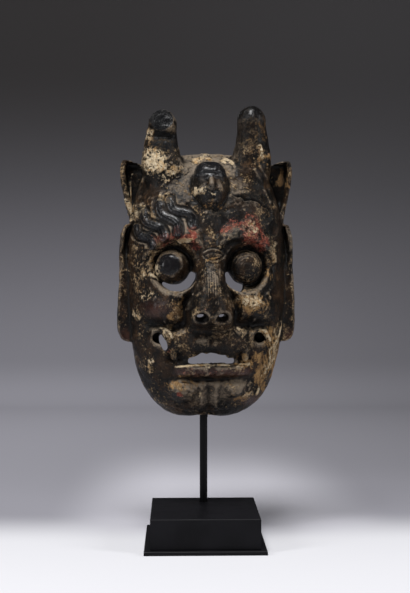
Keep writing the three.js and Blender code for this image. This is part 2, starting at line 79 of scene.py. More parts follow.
# smooth value noise from -1 to 1, the same on every run
def lumps(points, size, seed):
    cell = points / size + seed * 7.37
    base = np.floor(cell).astype(np.int64)
    part = cell - base
    part = part * part * (3 - 2 * part)
    total = np.zeros(len(points))
    for corner in range(8):
        step = [(corner >> k) & 1 for k in range(3)]
        mixed = sum((base[:, k] + step[k]) * prime
                    for k, prime in enumerate((73856093, 19349663, 83492791)))
        mixed = (mixed ^ (mixed >> 13) ^ (seed * 2654435761)) & 0x7FFFFFFF
        mixed = (mixed * 1103515245 + 12345) & 0x7FFFFFFF
        weight = np.ones(len(points))
        for k in range(3):
            weight = weight * (part[:, k] if step[k] else 1 - part[:, k])
        total += weight * ((mixed >> 8) % 4096 / 2047.5 - 1)
    return total


def cloud(points, size, seed, octaves=3):
    total = np.zeros(len(points))
    for octave in range(octaves):
        total += lumps(points, size / 2 ** octave, seed + octave) / 2 ** octave
    return total


def halfWidthAt(z):
    widening = rise(z / faceSize["height"], 0.15, 0.45)
    return faceSize["jaw"] + (faceSize["cheek"] - faceSize["jaw"]) * widening


def depthAt(z):
    return between([(0, 50), (0.22, 60), (0.55, 63), (0.75, 63), (1, 50)], z / faceSize["height"])


def place(across, up):
    return across * faceSize["cheek"], up * faceSize["height"]


# Carved forms of the face, in millimetres forward of the plain dome
eyeForm = {
    "radius": 17.5,
    "forward": 46.0,
    "iris": 11.5,
    "irisDome": 4.6,
    "ringPitch": 2.35,
    "ringDepth": 0.3,
    "socketDepth": 13.0,
    "margin": 5.0,
    "slot": 7.5,
}
eyeX, eyeZ = place(0.442, 0.56)
noseForm = {"reach": 28.0, "tipHalf": 23.5, "bridgeHalf": 12.0, "nostril": 7.0}
noseRootZ = 0.64 * faceSize["height"]
noseTipZ = 0.387 * faceSize["height"]
cornerForm = {"radius": 5.3, "depth": 11.0, "ahead": 12.0, "turn": math.radians(12)}
cornerX, cornerZ = place(0.62, 0.294)
mouthX, mouthZ = place(0.03, 0.218)
lipX, lipZ = place(0.04, 0.171)
thirdX, thirdZ = place(0.03, 0.6)
foldX, foldZ = place(0.52, 0.342)


def socketShare(side, z):
    return np.hypot(side - eyeX, (z - eyeZ) / 1.07) / (eyeForm["radius"] + eyeForm["margin"])


def faceRelief(x, z):
    side = np.abs(x)
    share = socketShare(side, z)
    total = -eyeForm["socketDepth"] * (1 - rise(share, 0.66, 1.08))
    total = total + 4 * bell((share - 1.12) / 0.3) * rise(eyeZ - z, 0, eyeForm["radius"] / 2)
    # brow
    peakX, peakZ = place(0.38, 0.673)
    above = z - (peakZ - 0.0165 * (side - peakX) ** 2)
    edge = np.where(above > 0, bell(above / 18), bell(above / 6))
    total = total + 8 * edge * rise(side, 5, 13) * (1 - rise(side, 58, 71))
    # nose
    down = (noseRootZ - z) / (noseRootZ - noseTipZ)
    underside = 0.28 * (noseRootZ - noseTipZ)
    along = np.clip(down, 0, 1)
    under = 1 - rise(noseTipZ - z, 0.15 * underside, underside)
    half = noseForm["bridgeHalf"] + (noseForm["tipHalf"] - noseForm["bridgeHalf"]) * rise(along, 0.42, 0.95)
    across = np.clip(1 - (side / half) ** 3, 0, 1)
    reach = noseForm["reach"] * (0.2 + 0.8 * np.sin(math.pi / 2 * along) ** 1.5)
    total = total + reach * across * under * rise(down, -0.2, 0.05)
    total = total - 5.5 * bell((side - half - 2.5) / 6.5) * rise(along, 0.3, 0.75) * under
    total = total + 6 * bell(np.hypot((side - 0.72 * noseForm["tipHalf"]) / 9, (z - noseTipZ + 3) / 10))
    # cheeks, and the smile fold under them
    cheekX, cheekZ = place(0.57, 0.41)
    total = total + 10 * bell(np.hypot((side - cheekX) / 33, (z - cheekZ) / 21))
    ends = rise(side, 19, 31) * (1 - rise(side, 58, 70))
    foldLine = foldZ + 0.006 * (side - foldX) ** 2 + 1.6 * np.sin(side / 6 + x / 40)
    total = total - 6 * bell((z - foldLine) / 9) * ends
    # muzzle and its curled corners
    muzzleZ = 0.278 * faceSize["height"]
    curl = np.hypot(side - cornerX, z - cornerZ) - 1.6 * cornerForm["radius"]
    total = total + 8 * bell(np.hypot(side / 52, (z - muzzleZ) / 24)) + 4 * bell(curl / 5)
    total = total - 6 * bell(np.hypot((side - 34) / 14, (z - mouthZ - 1) / 8))
    total = total + 3 * bell(np.hypot((side - 6) / 30, (z - 71) / 12))
    # chin
    chinZ = 0.075 * faceSize["height"]
    total = total + 6 * bell(np.hypot(side / 54, (z - chinZ) / 26))
    total = total + 9 * bell(np.hypot((side - 29) / 20, (z - chinZ - 6) / 16))
    total = total - 4.5 * bell(side / 8) * bell((z - chinZ) / 26)
    total = total - 4.5 * bell(side / 52) * bell((z - 0.136 * faceSize["height"]) / 5)
    # frown between the brows
    total = total + 4 * bell(np.hypot(side / 12, (z - 0.72 * faceSize["height"]) / 26))
    # lower lip
    off = (z - lipZ) / 5.5
    length = np.abs(x - lipX) / 40
    dip = 1 - 0.35 * bell((x - lipX) / 7)
    lip = 8 * (1 - np.minimum(off ** 4, 1)) * (1 - np.minimum(length ** 4, 1)) * dip
    return total + lip


def domeShare(x, z, low, high, halfWidth):
    middle, half = (low + high) / 2, (high - low) / 2
    power = faceSize["outlinePower"]
    fraction = (np.abs(x / halfWidth) ** power + np.abs((z - middle) / half) ** power) ** (1 / power)
    inside = np.clip(1 - fraction ** faceSize["domePower"], 0, 1)
    return inside ** (1 / faceSize["domePower"])


def faceFront(x, z):
    arch = domeShare(x, z, -faceSize["chinDrop"], faceSize["height"], halfWidthAt(z))
    return depthAt(z) * arch + faceRelief(x, z) * rise(arch, 0.2, 0.5)


def hollowFront(x, z):
    wall, behind = faceSize["wall"], faceSize["hollowBehind"]
    arch = domeShare(x, z, wall - faceSize["chinDrop"], faceSize["height"] - wall, halfWidthAt(z) - wall)
    side = np.abs(x)
    relief = 15 * bell(np.hypot(side / 18, (z - noseTipZ - 4) / 34))
    relief = relief - 9 * bell(np.hypot(side - eyeX, z - eyeZ) / (1.6 * eyeForm["radius"]))
    return -behind + (faceSize["hollowDepth"] + behind) * arch + relief * rise(arch, 0.2, 0.5)


def solidObject(name, points, faces):
    mesh = bpy.data.meshes.new(name)
    mesh.from_pydata([tuple(p) for p in points], [], faces)
    work = bmesh.new()
    work.from_mesh(mesh)
    bmesh.ops.remove_doubles(work, verts=work.verts, dist=1e-4)
    bmesh.ops.recalc_face_normals(work, faces=work.faces)
    work.to_mesh(mesh)
    work.free()
    made = bpy.data.objects.new(name, mesh)
    bpy.context.scene.collection.objects.link(made)
    return made


def gridSolid(name, front, low, high, halfWidth, columns, rows, crowding, back):
    power = faceSize["outlinePower"]
    s, t = np.meshgrid(np.linspace(-1, 1, columns + 1), np.linspace(-1, 1, rows + 1))
    u = s + (np.sin(math.pi / 2 * s) - s) * crowding
    v = t + (np.sin(math.pi / 2 * t) - t) * crowding
    across = u * (1 - np.abs(v) ** power / 2) ** (1 / power)
    up = v * (1 - np.abs(u) ** power / 2) ** (1 / power)
    z = (low + high) / 2 + (high - low) / 2 * up
    x = halfWidth(z) * across
    points = np.stack([x, -front(x, z), z], axis=-1).reshape(-1, 3)
    index = np.arange((columns + 1) * (rows + 1)).reshape(rows + 1, columns + 1)
    quads = np.stack([index[:-1, :-1], index[:-1, 1:], index[1:, 1:], index[1:, :-1]], axis=-1)
    rim = list(index[0, :-1]) + list(index[:-1, -1]) + list(index[-1, :0:-1]) + list(index[:0:-1, 0])
    middle = len(points)
    points = np.vstack([points, [[0, back, (low + high) / 2]]])
    faces = quads.reshape(-1, 4).tolist()
    faces += [[int(b), int(a), middle] for a, b in zip(rim, rim[1:] + rim[:1])]
    return solidObject(name, points, faces)


def loft(name, rings):
    rings = np.asarray(rings, float)
    layers, count = rings.shape[:2]
    points = rings.reshape(-1, 3)
    faces = []
    for layer in range(layers - 1):
        for i in range(count):
            a, b = layer * count + i, layer * count + (i + 1) % count
            faces.append([a, b, b + count, a + count])
    for layer in (0, layers - 1):
        points = np.vstack([points, rings[layer].mean(axis=0)])
        for i in range(count):
            faces.append([len(points) - 1, layer * count + i, layer * count + (i + 1) % count])
    return solidObject(name, points, faces)


def prism(name, outline, back, front):
    rings = [[(x, -forward, z) for x, z in outline] for forward in (back, front)]
    return loft(name, rings)


def ellipseOutline(centreX, centreZ, radiusX, radiusZ, start=0.0, end=360.0, turn=0.0, steps=40):
    angles = np.radians(np.linspace(start, end, steps + 1))
    if end - start >= 360:
        angles = angles[:-1]
    x, z = radiusX * np.cos(angles), radiusZ * np.sin(angles)
    turn = math.radians(turn)
    return [(centreX + a * math.cos(turn) - b * math.sin(turn),
             centreZ + a * math.sin(turn) + b * math.cos(turn)) for a, b in zip(x, z)]


def ellipsoid(name, centre, radii, sides=28):
    angles = np.linspace(0, math.pi, sides // 2 + 1)[1:-1]
    around = np.linspace(0, 2 * math.pi, sides, endpoint=False)
    rings = [[(centre[0] + radii[0] * math.sin(a) * math.cos(b),
               centre[1] + radii[1] * math.sin(a) * math.sin(b),
               centre[2] - radii[2] * math.cos(a)) for b in around] for a in angles]
    return loft(name, rings)


def frontPoint(x, z, lift=0.0):
    return np.array([x, -(float(faceFront(np.array([x]), np.array([z]))[0]) + lift), z])


def combine(base, pieces, operation):
    for piece in pieces:
        step = base.modifiers.new(piece.name, 'BOOLEAN')
        step.operation = operation
        step.solver = 'MANIFOLD'
        step.object = piece
    result = bpy.data.meshes.new_from_object(base.evaluated_get(bpy.context.evaluated_depsgraph_get()))
    base.modifiers.clear()
    base.data = result
    for piece in pieces:
        bpy.data.objects.remove(piece)


# Geometry Nodes helpers
def newTree(name, sizes):
    tree = bpy.data.node_groups.new(name, 'GeometryNodeTree')
    tree.interface.new_socket("Geometry", in_out='INPUT', socket_type='NodeSocketGeometry')
    for socket, value in sizes.items():
        kind = 'NodeSocketInt' if isinstance(value, int) else 'NodeSocketFloat'
        tree.interface.new_socket(socket, in_out='INPUT', socket_type=kind).default_value = value
    tree.interface.new_socket("Material", in_out='INPUT', socket_type='NodeSocketMaterial')
    tree.interface.new_socket("Geometry", in_out='OUTPUT', socket_type='NodeSocketGeometry')
    return tree, tree.nodes.new('NodeGroupInput'), tree.nodes.new('NodeGroupOutput')


def addMath(tree, operation, first, second=None):
    node = tree.nodes.new('ShaderNodeMath')
    node.operation = operation
    for socket, value in zip(node.inputs, (first, second)):
        if value is None:
            continue
        if isinstance(value, (int, float)):
            socket.default_value = value
        else:
            tree.links.new(value, socket)
    return node.outputs[0]


def finishTree(tree, inputs, output, geometry):
    realize = tree.nodes.new('GeometryNodeRealizeInstances')
    setMaterial = tree.nodes.new('GeometryNodeSetMaterial')
    tree.links.new(geometry, realize.inputs["Geometry"])
    tree.links.new(realize.outputs[0], setMaterial.inputs["Geometry"])
    tree.links.new(inputs.outputs["Material"], setMaterial.inputs["Material"])
    tree.links.new(setMaterial.outputs[0], output.inputs[0])


def runTree(source, tree, values):
    modifier = source.modifiers.new(tree.name, 'NODES')
    modifier.node_group = tree
    for item in tree.interface.items_tree:
        if item.in_out == 'INPUT' and item.name in values:
            modifier[item.identifier] = values[item.name]
    result = bpy.data.meshes.new_from_object(source.evaluated_get(bpy.context.evaluated_depsgraph_get()))
    source.modifiers.clear()
    source.data = result
    return source


def sweepTree():
    tree, inputs, output = newTree("Tapering lock", {"Thickness": 6.0, "Sides": 18})
    toCurve = tree.nodes.new('GeometryNodeMeshToCurve')
    smooth = tree.nodes.new('GeometryNodeResampleCurve')
    smooth.inputs["Count"].default_value = 30
    setRadius = tree.nodes.new('GeometryNodeSetCurveRadius')
    parameter = tree.nodes.new('GeometryNodeSplineParameter')
    profile = tree.nodes.new('GeometryNodeCurvePrimitiveCircle')
    profile.inputs["Radius"].default_value = 1.0
    sweep = tree.nodes.new('GeometryNodeCurveToMesh')
    sweep.inputs["Fill Caps"].default_value = True
    swell = addMath(tree, 'MULTIPLY_ADD', parameter.outputs["Factor"], 0.78 * math.pi)
    swell.node.inputs[2].default_value = 0.2 * math.pi
    swell = addMath(tree, 'POWER', addMath(tree, 'SINE', swell), 1.1)
    swell = addMath(tree, 'MULTIPLY_ADD', swell, 0.9)
    swell.node.inputs[2].default_value = 0.1
    radius = addMath(tree, 'MULTIPLY', swell, inputs.outputs["Thickness"])
    tree.links.new(inputs.outputs["Geometry"], toCurve.inputs["Mesh"])
    tree.links.new(toCurve.outputs[0], smooth.inputs["Curve"])
    tree.links.new(smooth.outputs[0], setRadius.inputs["Curve"])
    tree.links.new(radius, setRadius.inputs["Radius"])
    tree.links.new(inputs.outputs["Sides"], profile.inputs["Resolution"])
    tree.links.new(setRadius.outputs[0], sweep.inputs["Curve"])
    tree.links.new(profile.outputs[0], sweep.inputs["Profile Curve"])
    finishTree(tree, inputs, output, sweep.outputs[0])
    return tree


# Solids of the mask
def makeEyeball(side):
    radius, iris, pitch = eyeForm["radius"], eyeForm["iris"], eyeForm["ringPitch"]
    ahead = lambda r: math.sqrt(max(radius ** 2 - r ** 2, 0))
    profile = [(radius * math.sin(a), -radius * math.cos(a)) for a in np.linspace(0.02, math.pi, 60)
               if -radius * math.cos(a) < ahead(iris + 0.8)]
    if side < 0:
        # a stepped, domed iris
        profile += [(iris + 0.6, ahead(iris + 0.8) + 0.2), (iris, ahead(iris) + 1.0)]
        profile += [(iris * math.cos(a), ahead(iris) + 1.0 + eyeForm["irisDome"] * math.sin(a))
                    for a in np.linspace(0.1, 1.5, 16)]
    else:
        # concentric carved rings
        for ring in np.linspace(iris + 0.4, 2.2, 22):
            wave = eyeForm["ringDepth"] * math.cos(ring * 2 * math.pi / pitch)
            profile.append((ring, ahead(ring) + 0.5 + wave))
    rings = []
    centre = np.array([side * eyeX, -eyeForm["forward"], eyeZ])
    look = np.array([-0.16, -1.0, 0.08]) if side < 0 else np.array([0.06, -1.0, 0.0])
    look = look / np.linalg.norm(look)
    across = np.cross(look, [0, 0, 1.0])
    across = across / np.linalg.norm(across)
    up = np.cross(across, look)
    for ring, height in profile:
        rings.append([centre + look * height + across * ring * math.cos(a) + up * ring * math.sin(a)
                      for a in np.linspace(0, 2 * math.pi, 48, endpoint=False)])
    return loft("eyeball", rings)


def makeSlot(side):
    radius, slot = eyeForm["radius"], eyeForm["slot"]
    centreX, centreZ = side * (eyeX - slot / 2), eyeZ - 0.76 * slot
    start, end = (-145, -2) if side < 0 else (-178, -88)
    outline = ellipseOutline(centreX, centreZ, radius + slot / 7, radius + slot / 4, start, end)
    return prism("slot", outline + [(side * (eyeX + 2), eyeZ + 2)], 0, cutterFront)


mouthForm = {
    "width": 47.0,
    "gap": 12.0,
    # broken upper edge: share of the width, share of the gap
    "teeth": [(1, 0.59), (0.93, 0.52), (0.83, 0.55), (0.81, 0.79), (0.72, 0.8), (0.63, 0.84), (0.56, 0.96),
              (0.45, 1), (0.36, 0.92), (0.30, 1.02), (0.24, 0.95), (0.18, 0.74), (0.14, 0.67), (0.06, 0.59),
              (0, 0.5)],
}


def makeMouth():
    left, right = mouthX - mouthForm["width"] / 2, mouthX + mouthForm["width"] / 2
    gap = mouthForm["gap"]
    outline = [(left, mouthZ - gap / 2 + 0.3), (right, mouthZ - gap / 2)]
    outline += [(left + (right - left) * share, mouthZ + gap * (opened - 0.5))
                for share, opened in mouthForm["teeth"]]
    return prism("mouth", outline, 0, cutterFront)


def makeNostrils(side):
    radius = noseForm["nostril"]
    x, z = side * 0.45 * noseForm["tipHalf"], noseTipZ - 5
    front = frontPoint(x, z, -1)
    pit = ellipsoid("nostrilPit", (x, front[1], z), (radius, 9, radius))
    outline = ellipseOutline(x, z + 0.5 * radius, 0.72 * radius, 0.32 * radius, steps=24)
    return [pit, prism("nostrilHole", outline, faceSize["hollowDepth"], cutterFront)]


def makeCornerHole(side):
    radius = cornerForm["radius"]
    front = frontPoint(side * cornerX, cornerZ)
    angle = side * cornerForm["turn"]
    along = np.array([math.sin(angle), math.cos(angle), 0])
    across = np.array([math.cos(angle), -math.sin(angle), 0])
    rings = []
    for step in (-cornerForm["ahead"], cornerForm["depth"]):
        rings.append([front + along * step + across * radius * math.cos(a) + [0, 0, radius * math.sin(a)]
                      for a in np.linspace(0, 2 * math.pi, 32, endpoint=False)])
    return loft("cornerHole", rings)


hornForm = {
    "length": 67.0,
    "rightTaller": 5.0,
    "rootInset": 9.0,
    "tipInset": 1.5,
    "rootDepth": 32.0,
    "ahead": (22.0, 16.0, 24.0),
    "radii": (12.6, 21.0, 14.5),
    "rounding": 0.85,
}


def makeHorn(side):
    hornX, hornZ = place(0.568, 0.905)
    length = hornForm["length"]
    top = hornZ + length + (hornForm["rightTaller"] if side > 0 else 0)
    rootAhead, middleAhead, tipAhead = hornForm["ahead"]
    stops = [np.array([side * (hornX - hornForm["rootInset"]), -rootAhead, hornZ - hornForm["rootDepth"]]),
             np.array([side * hornX, -middleAhead, hornZ + 0.25 * length]),
             np.array([side * (hornX - hornForm["tipInset"]), -tipAhead, top])]
    curve = catmull(stops, 200)
    rounding = hornForm["rounding"]
    girth = list(zip((0, 0.4, rounding), hornForm["radii"]))
    tip = rounding + (1 - rounding) * np.sin(np.linspace(0.08, 1.5, 14))
    rings = []
    for share in np.concatenate([np.linspace(0, rounding, 40), tip]):
        closing = max((share - rounding) / (1 - rounding), 0)
        radius = float(between(girth, np.array(share))) * math.sqrt(1 - closing ** 2)
        centre, up = curve(share)
        normal = np.array([1.0, 0, 0]) - up * up[0]
        normal = normal / np.linalg.norm(normal)
        binormal = np.cross(up, normal)
        rings.append([centre + normal * radius * math.cos(a) + binormal * radius * math.sin(a)
                      for a in np.linspace(0, 2 * math.pi, 56, endpoint=False)])
    return loft("horn", rings)


def catmull(stops, samples):
    # centripetal spline through three stops, walked by arc length
    chain = [2 * stops[0] - stops[1]] + stops + [2 * stops[-1] - stops[-2]]
    walked = []
    for p0, p1, p2, p3 in zip(chain, chain[1:], chain[2:], chain[3:]):
        d0, d1, d2 = [max(np.linalg.norm(b - a) ** 0.5, 1e-4) for a, b in ((p0, p1), (p1, p2), (p2, p3))]
        m1 = (p1 - p0) / d0 - (p2 - p0) / (d0 + d1) + (p2 - p1) / d1
        m2 = (p2 - p1) / d1 - (p3 - p1) / (d1 + d2) + (p3 - p2) / d2
        m1, m2 = m1 * d1, m2 * d1
        for t in np.linspace(0, 1, samples, endpoint=False):
            square, cube = -3 * p1 + 3 * p2 - 2 * m1 - m2, 2 * p1 - 2 * p2 + m1 + m2
            walked.append(p1 + m1 * t + square * t ** 2 + cube * t ** 3)
    walked.append(stops[-1])
    walked = np.array(walked)
    lengths = np.concatenate([[0], np.cumsum(np.linalg.norm(np.diff(walked, axis=0), axis=1))])

    def at(share):
        target = share * lengths[-1]
        here = np.array([np.interp(target, lengths, walked[:, k]) for k in range(3)])
        step = lengths[-1] * 0.01
        ahead = np.array([np.interp(target + step, lengths, walked[:, k]) for k in range(3)])
        behind = np.array([np.interp(target - step, lengths, walked[:, k]) for k in range(3)])
        up = ahead - behind
        return here, up / np.linalg.norm(up)
    return at


# Ears, bottom to top: share of the height, root and outer edge as shares of the half width, cup's depth
earForm = {
    "depth": 17.0,
    "plate": 4.0,
    "upper": [(0.725, 0.9, 0.965, 1), (0.765, 0.84, 0.99, 8.4), (0.82, 0.75, 1.035, 12),
              (0.88, 0.68, 1.07, 12), (0.925, 0.66, 1.085, 12), (0.955, 0.8, 1.07, 12),
              (0.968, 0.96, 1.055, 1)],
    "lower": [(0.275, 0.85, 1.0, 0), (0.283, 0.85, 1.075, 0), (0.31, 0.85, 1.115, 0), (0.36, 0.85, 1.13, 0),
              (0.43, 0.85, 1.12, 0.5), (0.55, 0.85, 1.1, 1), (0.62, 0.85, 1.105, 7.2),
              (0.68, 0.82, 1.085, 12), (0.715, 0.88, 1.05, 7.2), (0.724, 0.93, 1.03, 1)],
}


def makeEar(side, stations):
    depth, plate = earForm["depth"], earForm["plate"]
    table = np.array(stations, float)
    rings = []
    for up in np.linspace(table[0, 0], table[-1, 0], 60):
        root, outer, cup = [float(np.interp(up, table[:, 0], table[:, k])) for k in (1, 2, 3)]
        root, outer = root * faceSize["cheek"], outer * faceSize["cheek"]
        lip = outer - plate
        outline = [(root, 0), (outer - 2, 0), (outer, 3), (outer, depth - 2), (outer - 1.5, depth),
                   (lip, depth - 1), (lip - 1, depth - 1 - cup), (root, depth - 1 - cup)]
        rings.append([(side * x, -forward, up * faceSize["height"]) for x, forward in outline])
    return loft("ear", rings)


browForm = {"sway": 0.12, "lift": 2.0, "rightWorn": 2.2, "sides": 20}
browLocks = [
    {"root": (0.2, 0.72), "tip": (0.49, 0.81), "thick": 4.0},
    {"root": (0.4, 0.685), "tip": (0.61, 0.8), "thick": 4.1},
    {"root": (0.57, 0.665), "tip": (0.8, 0.768), "thick": 4.3},
    {"root": (0.7, 0.635), "tip": (0.89, 0.712), "thick": 4.0},
]


def lockPath(side, lock):
    (fromX, fromZ), (toX, toZ) = place(*lock["root"]), place(*lock["tip"])
    across, up = toX - fromX, toZ - fromZ
    path = []
    for share in np.linspace(0, 1, 24):
        swing = browForm["sway"] * math.sin(2 * math.pi * share)
        path.append((side * (fromX + across * share - up * swing), fromZ + up * share + across * swing))
    return path


def makeLock(side, lock, tree):
    worn = 0.0 if side < 0 else -browForm["rightWorn"]
    points = [frontPoint(x, z, browForm["lift"] + worn) for x, z in lockPath(side, lock)]
    mesh = bpy.data.meshes.new("lock")
    mesh.from_pydata([tuple(p) for p in points], [(i, i + 1) for i in range(len(points) - 1)], [])
    made = bpy.data.objects.new("lock", mesh)
    bpy.context.scene.collection.objects.link(made)
    return runTree(made, tree, {"Thickness": lock["thick"], "Sides": browForm["sides"]})


smallHead = {
    "place": (0.01, 0.854),
    "half": 17.5,
    "height": 52.0,
    "depth": 22.0,
    "sunk": 0.16,  # share of its depth
    "lean": 14.0,
}


def makeSmallHead():
    w, h = smallHead["half"], smallHead["height"] / 2

    def headWidth(z):
        return w * (0.72 + 0.28 * rise(z / h, -0.9, -0.1))

    def headFront(x, z):
        side = np.abs(x)
        arch = domeShare(x, z, -h, h, headWidth(z))
        hairLine = 0.4 * h - 0.08 * h * (side / w) ** 2
        relief = 2.6 * rise(z - hairLine, -0.8, 0.8)
        relief = relief + 0.9 * bell(np.hypot((side - 0.42 * w) / (0.4 * w), (z - 0.62 * h) / (0.3 * h)))
        relief = relief - 3.2 * bell(np.hypot((side - 0.44 * w) / (0.36 * w), (z - 0.12 * h) / (0.19 * h)))
        relief = relief + 2.4 * bell(np.hypot((side - 0.44 * w) / (0.24 * w), (z - 0.1 * h) / (0.11 * h)))
        relief = relief + 1.3 * bell((z - 0.27 * h + 0.004 * side ** 2) / (0.08 * h)) * bell(side / w)
        noseWidth = w * (0.18 + 0.18 * rise(-z, -0.2 * h, 0.35 * h))
        noseLength = rise(z, -0.44 * h, -0.34 * h) * (1 - rise(z, -0.1 * h, 0.3 * h))
        relief = relief + 5.8 * bell(side / noseWidth) * noseLength
        lips = bell((z + 0.5 * h) / (0.08 * h)) + bell((z + 0.68 * h) / (0.08 * h))
        relief = relief + 2.6 * bell(side / (0.5 * w)) * lips
        relief = relief + 3.2 * bell(np.hypot((side - 0.54 * w) / (0.34 * w), (z + 0.28 * h) / (0.24 * h)))
        return smallHead["depth"] * arch + relief * rise(arch, 0.2, 0.5)

    made = gridSolid("smallHead", headFront, -h, h, headWidth, 60, 70, faceSize["edgeCrowding"], 0)
    front = frontPoint(*place(*smallHead["place"]), -smallHead["sunk"] * smallHead["depth"])
    lean = Matrix.Rotation(-math.radians(smallHead["lean"]), 4, 'X')
    made.data.transform(Matrix.Translation(front) @ lean)
    return made


def box(name, low, high):
    corners = [(x, y, z) for x in (low[0], high[0]) for y in (low[1], high[1]) for z in (low[2], high[2])]
    faces = [(0, 1, 3, 2), (4, 6, 7, 5), (0, 4, 5, 1), (2, 3, 7, 6), (0, 2, 6, 4), (1, 5, 7, 3)]
    return solidObject(name, corners, faces)


fangForm = {"place": (0.44, 0.245), "radii": (4.2, 4.5, 9.5), "sunk": 1.0}
thirdEyeForm = {"radii": (8.5, 3, 3.6), "sunk": 1.4}
splitForm = {"halfWidth": 3.2, "halfHeight": 8.5, "turn": 20}  # of the left corner hole
notchForm = {"radius": 48.0, "depth": 3.5, "halfLength": 60.0}  # under the chin, over the rod


def makeNotch():
    radius, length = notchForm["radius"], notchForm["halfLength"]
    middle = notchForm["depth"] - faceSize["chinDrop"] - radius
    rings = [[(radius * math.cos(a), y, middle + radius * math.sin(a))
              for a in np.linspace(0, 2 * math.pi, 120, endpoint=False)] for y in (-length, length)]
    made = loft("notch", rings)
    overRod = Matrix.Translation((-maskPlace["shift"][0], 0, 0))
    made.data.transform(Matrix.Rotation(-maskPlace["turn"], 4, 'Z') @ overRod)
    return made


def buildMask():
    height, drop, wall = faceSize["height"], faceSize["chinDrop"], faceSize["wall"]
    base = gridSolid("maskCarved", faceFront, -drop, height, halfWidthAt, faceSize["columns"],
                     faceSize["rows"], faceSize["edgeCrowding"], 0)
    tree = sweepTree()
    combine(base, [makeSlot(-1), makeSlot(1)], 'DIFFERENCE')
    raised = []
    for side in (-1, 1):
        raised += [makeEyeball(side), makeHorn(side)]
        raised += [makeEar(side, earForm["upper"]), makeEar(side, earForm["lower"])]
        raised += [makeLock(side, lock, tree) for lock in browLocks]
        fangX, fangZ = place(*fangForm["place"])
        fang = frontPoint(side * fangX, fangZ, -fangForm["sunk"])
        raised.append(ellipsoid("fang", fang, fangForm["radii"]))
    ball = frontPoint(thirdX, thirdZ, -thirdEyeForm["sunk"])
    raised.append(ellipsoid("thirdEye", ball, thirdEyeForm["radii"]))
    raised.append(makeSmallHead())
    combine(base, raised, 'UNION')
    print("raised forms joined", len(base.data.polygons))
    hollow = gridSolid("hollow", hollowFront, wall - drop, height - wall, lambda z: halfWidthAt(z) - wall,
                       60, 90, 1, faceSize["hollowBehind"])
    outline = ellipseOutline(-cornerX + 0.9 * cornerForm["radius"], cornerZ - cornerForm["radius"],
                             splitForm["halfWidth"], splitForm["halfHeight"], turn=splitForm["turn"])
    split = prism("split", outline, 0, cutterFront)
    cuts = [hollow, box("behind", (-160, 0, -100), (160, 60, 400)), makeNotch(), makeMouth(), split]
    for side in (-1, 1):
        cuts += makeNostrils(side) + [makeCornerHole(side)]
    combine(base, cuts, 'DIFFERENCE')
    print("openings cut", len(base.data.polygons))
    remesh = base.modifiers.new("even skin", 'REMESH')
    remesh.mode = 'VOXEL'
    remesh.voxel_size = faceSize["voxel"]
    result = bpy.data.meshes.new_from_object(base.evaluated_get(bpy.context.evaluated_depsgraph_get()))
    base.modifiers.clear()
    base.data = result
    print("skin remeshed", len(result.vertices), len(result.polygons))
    return base


def readPoints(mesh):
    points = np.zeros(len(mesh.vertices) * 3)
    mesh.vertices.foreach_get("co", points)
    return points.reshape(-1, 3)


def writePoints(mesh, points):
    mesh.vertices.foreach_set("co", points.reshape(-1))
    mesh.update()


def readNormals(mesh):
    normals = np.zeros(len(mesh.vertices) * 3)
    mesh.vertices.foreach_get("normal", normals)
    return normals.reshape(-1, 3)


def edgeTable(mesh):
    edges = np.zeros(len(mesh.edges) * 2, np.int64)
    mesh.edges.foreach_get("vertices", edges)
    return edges.reshape(-1, 2)


def smoothed(values, edges, rounds, factor=0.5):
    count = len(values)
    degree = np.bincount(edges.reshape(-1), minlength=count).astype(float)
    values = values.copy()
    for _ in range(rounds):
        columns = []
        for k in range(values.shape[1]):
            total = np.bincount(edges[:, 0], values[edges[:, 1], k], count)
            total += np.bincount(edges[:, 1], values[edges[:, 0], k], count)
            columns.append(total / degree)
        values += (np.stack(columns, axis=1) - values) * factor
    return values


# Where paint is left or lost on the face: x, z, half width, half height, turn in degrees, strength
creamSpots = [
    (-60.5, 286, 3, 13, 0, 0.8), (-54, 256, 14, 12, 0, 0.98), (-46, 272, 12, 4, 0, 0.55),
    (54, 264, 6, 8, 20, 0.8), (-36, 243, 11, 6, 15, 0.8), (-44, 236, 5, 8, 0, 0.7),
    (-6, 259, 13, 4, 5, 0.85), (21, 255, 8, 2.2, -42, 1.1), (-67, 206, 5, 10, 0, 0.85),
    (-44, 218, 6, 4, 0, 0.8), (-10, 224, 6, 5, 30, 1.0), (-1, 221, 6, 1.4, 0, 0.9),
    (-6, 197, 4, 6, 0, 0.7), (-24.5, 174.7, 5, 2, 0, 1.2), (40, 186, 9, 8, -20, 0.75),
    (-51, 143, 4, 8, 20, 1.0), (-58, 152, 6, 12, 10, 0.6), (-72, 165, 5, 22, 0, 0.4),
    (-34, 122, 14, 3, 0, 0.5), (40, 115, 12, 8, -10, 0.85), (-12, 104, 5, 8, 0, 0.2),
    (-38, 84, 5, 9, 25, 0.7), (30, 85, 12, 4, 8, 0.72), (57, 80, 4, 8, 20, 0.75),
    (3, 50.4, 38, 1.6, 0, 0.8), (37, 56, 5, 5, 0, 0.75), (66, 60, 4, 27, -13, 0.8),
    (60, 52, 3, 12, -13, 0.8), (-58, 51, 3.4, 7, 10, 0.9), (-66, 68, 2.5, 8, 5, 0.5),
    (-44, 84, 3, 6, 35, 0.85), (-8, 21, 2, 2.4, 0, 0.9), (37, 22, 5, 4, 0, 0.9), (38, 33, 9, 5, 0, 0.5),
    (-30, 30, 9, 4, -20, 0.55), (-78.4, 211, 2.4, 16, 6, 0.9), (-72, 100, 4, 6, 0, 0.8),
    (60, 120, 5, 6, 0, 0.6), (-60, 120, 8, 6, 0, 0.6), (66, 160, 2.5, 14, -6, 0.8),
    (71, 88, 3, 8, -10, 0.7), (10, 168, 4, 2, 0, 0.5),
]
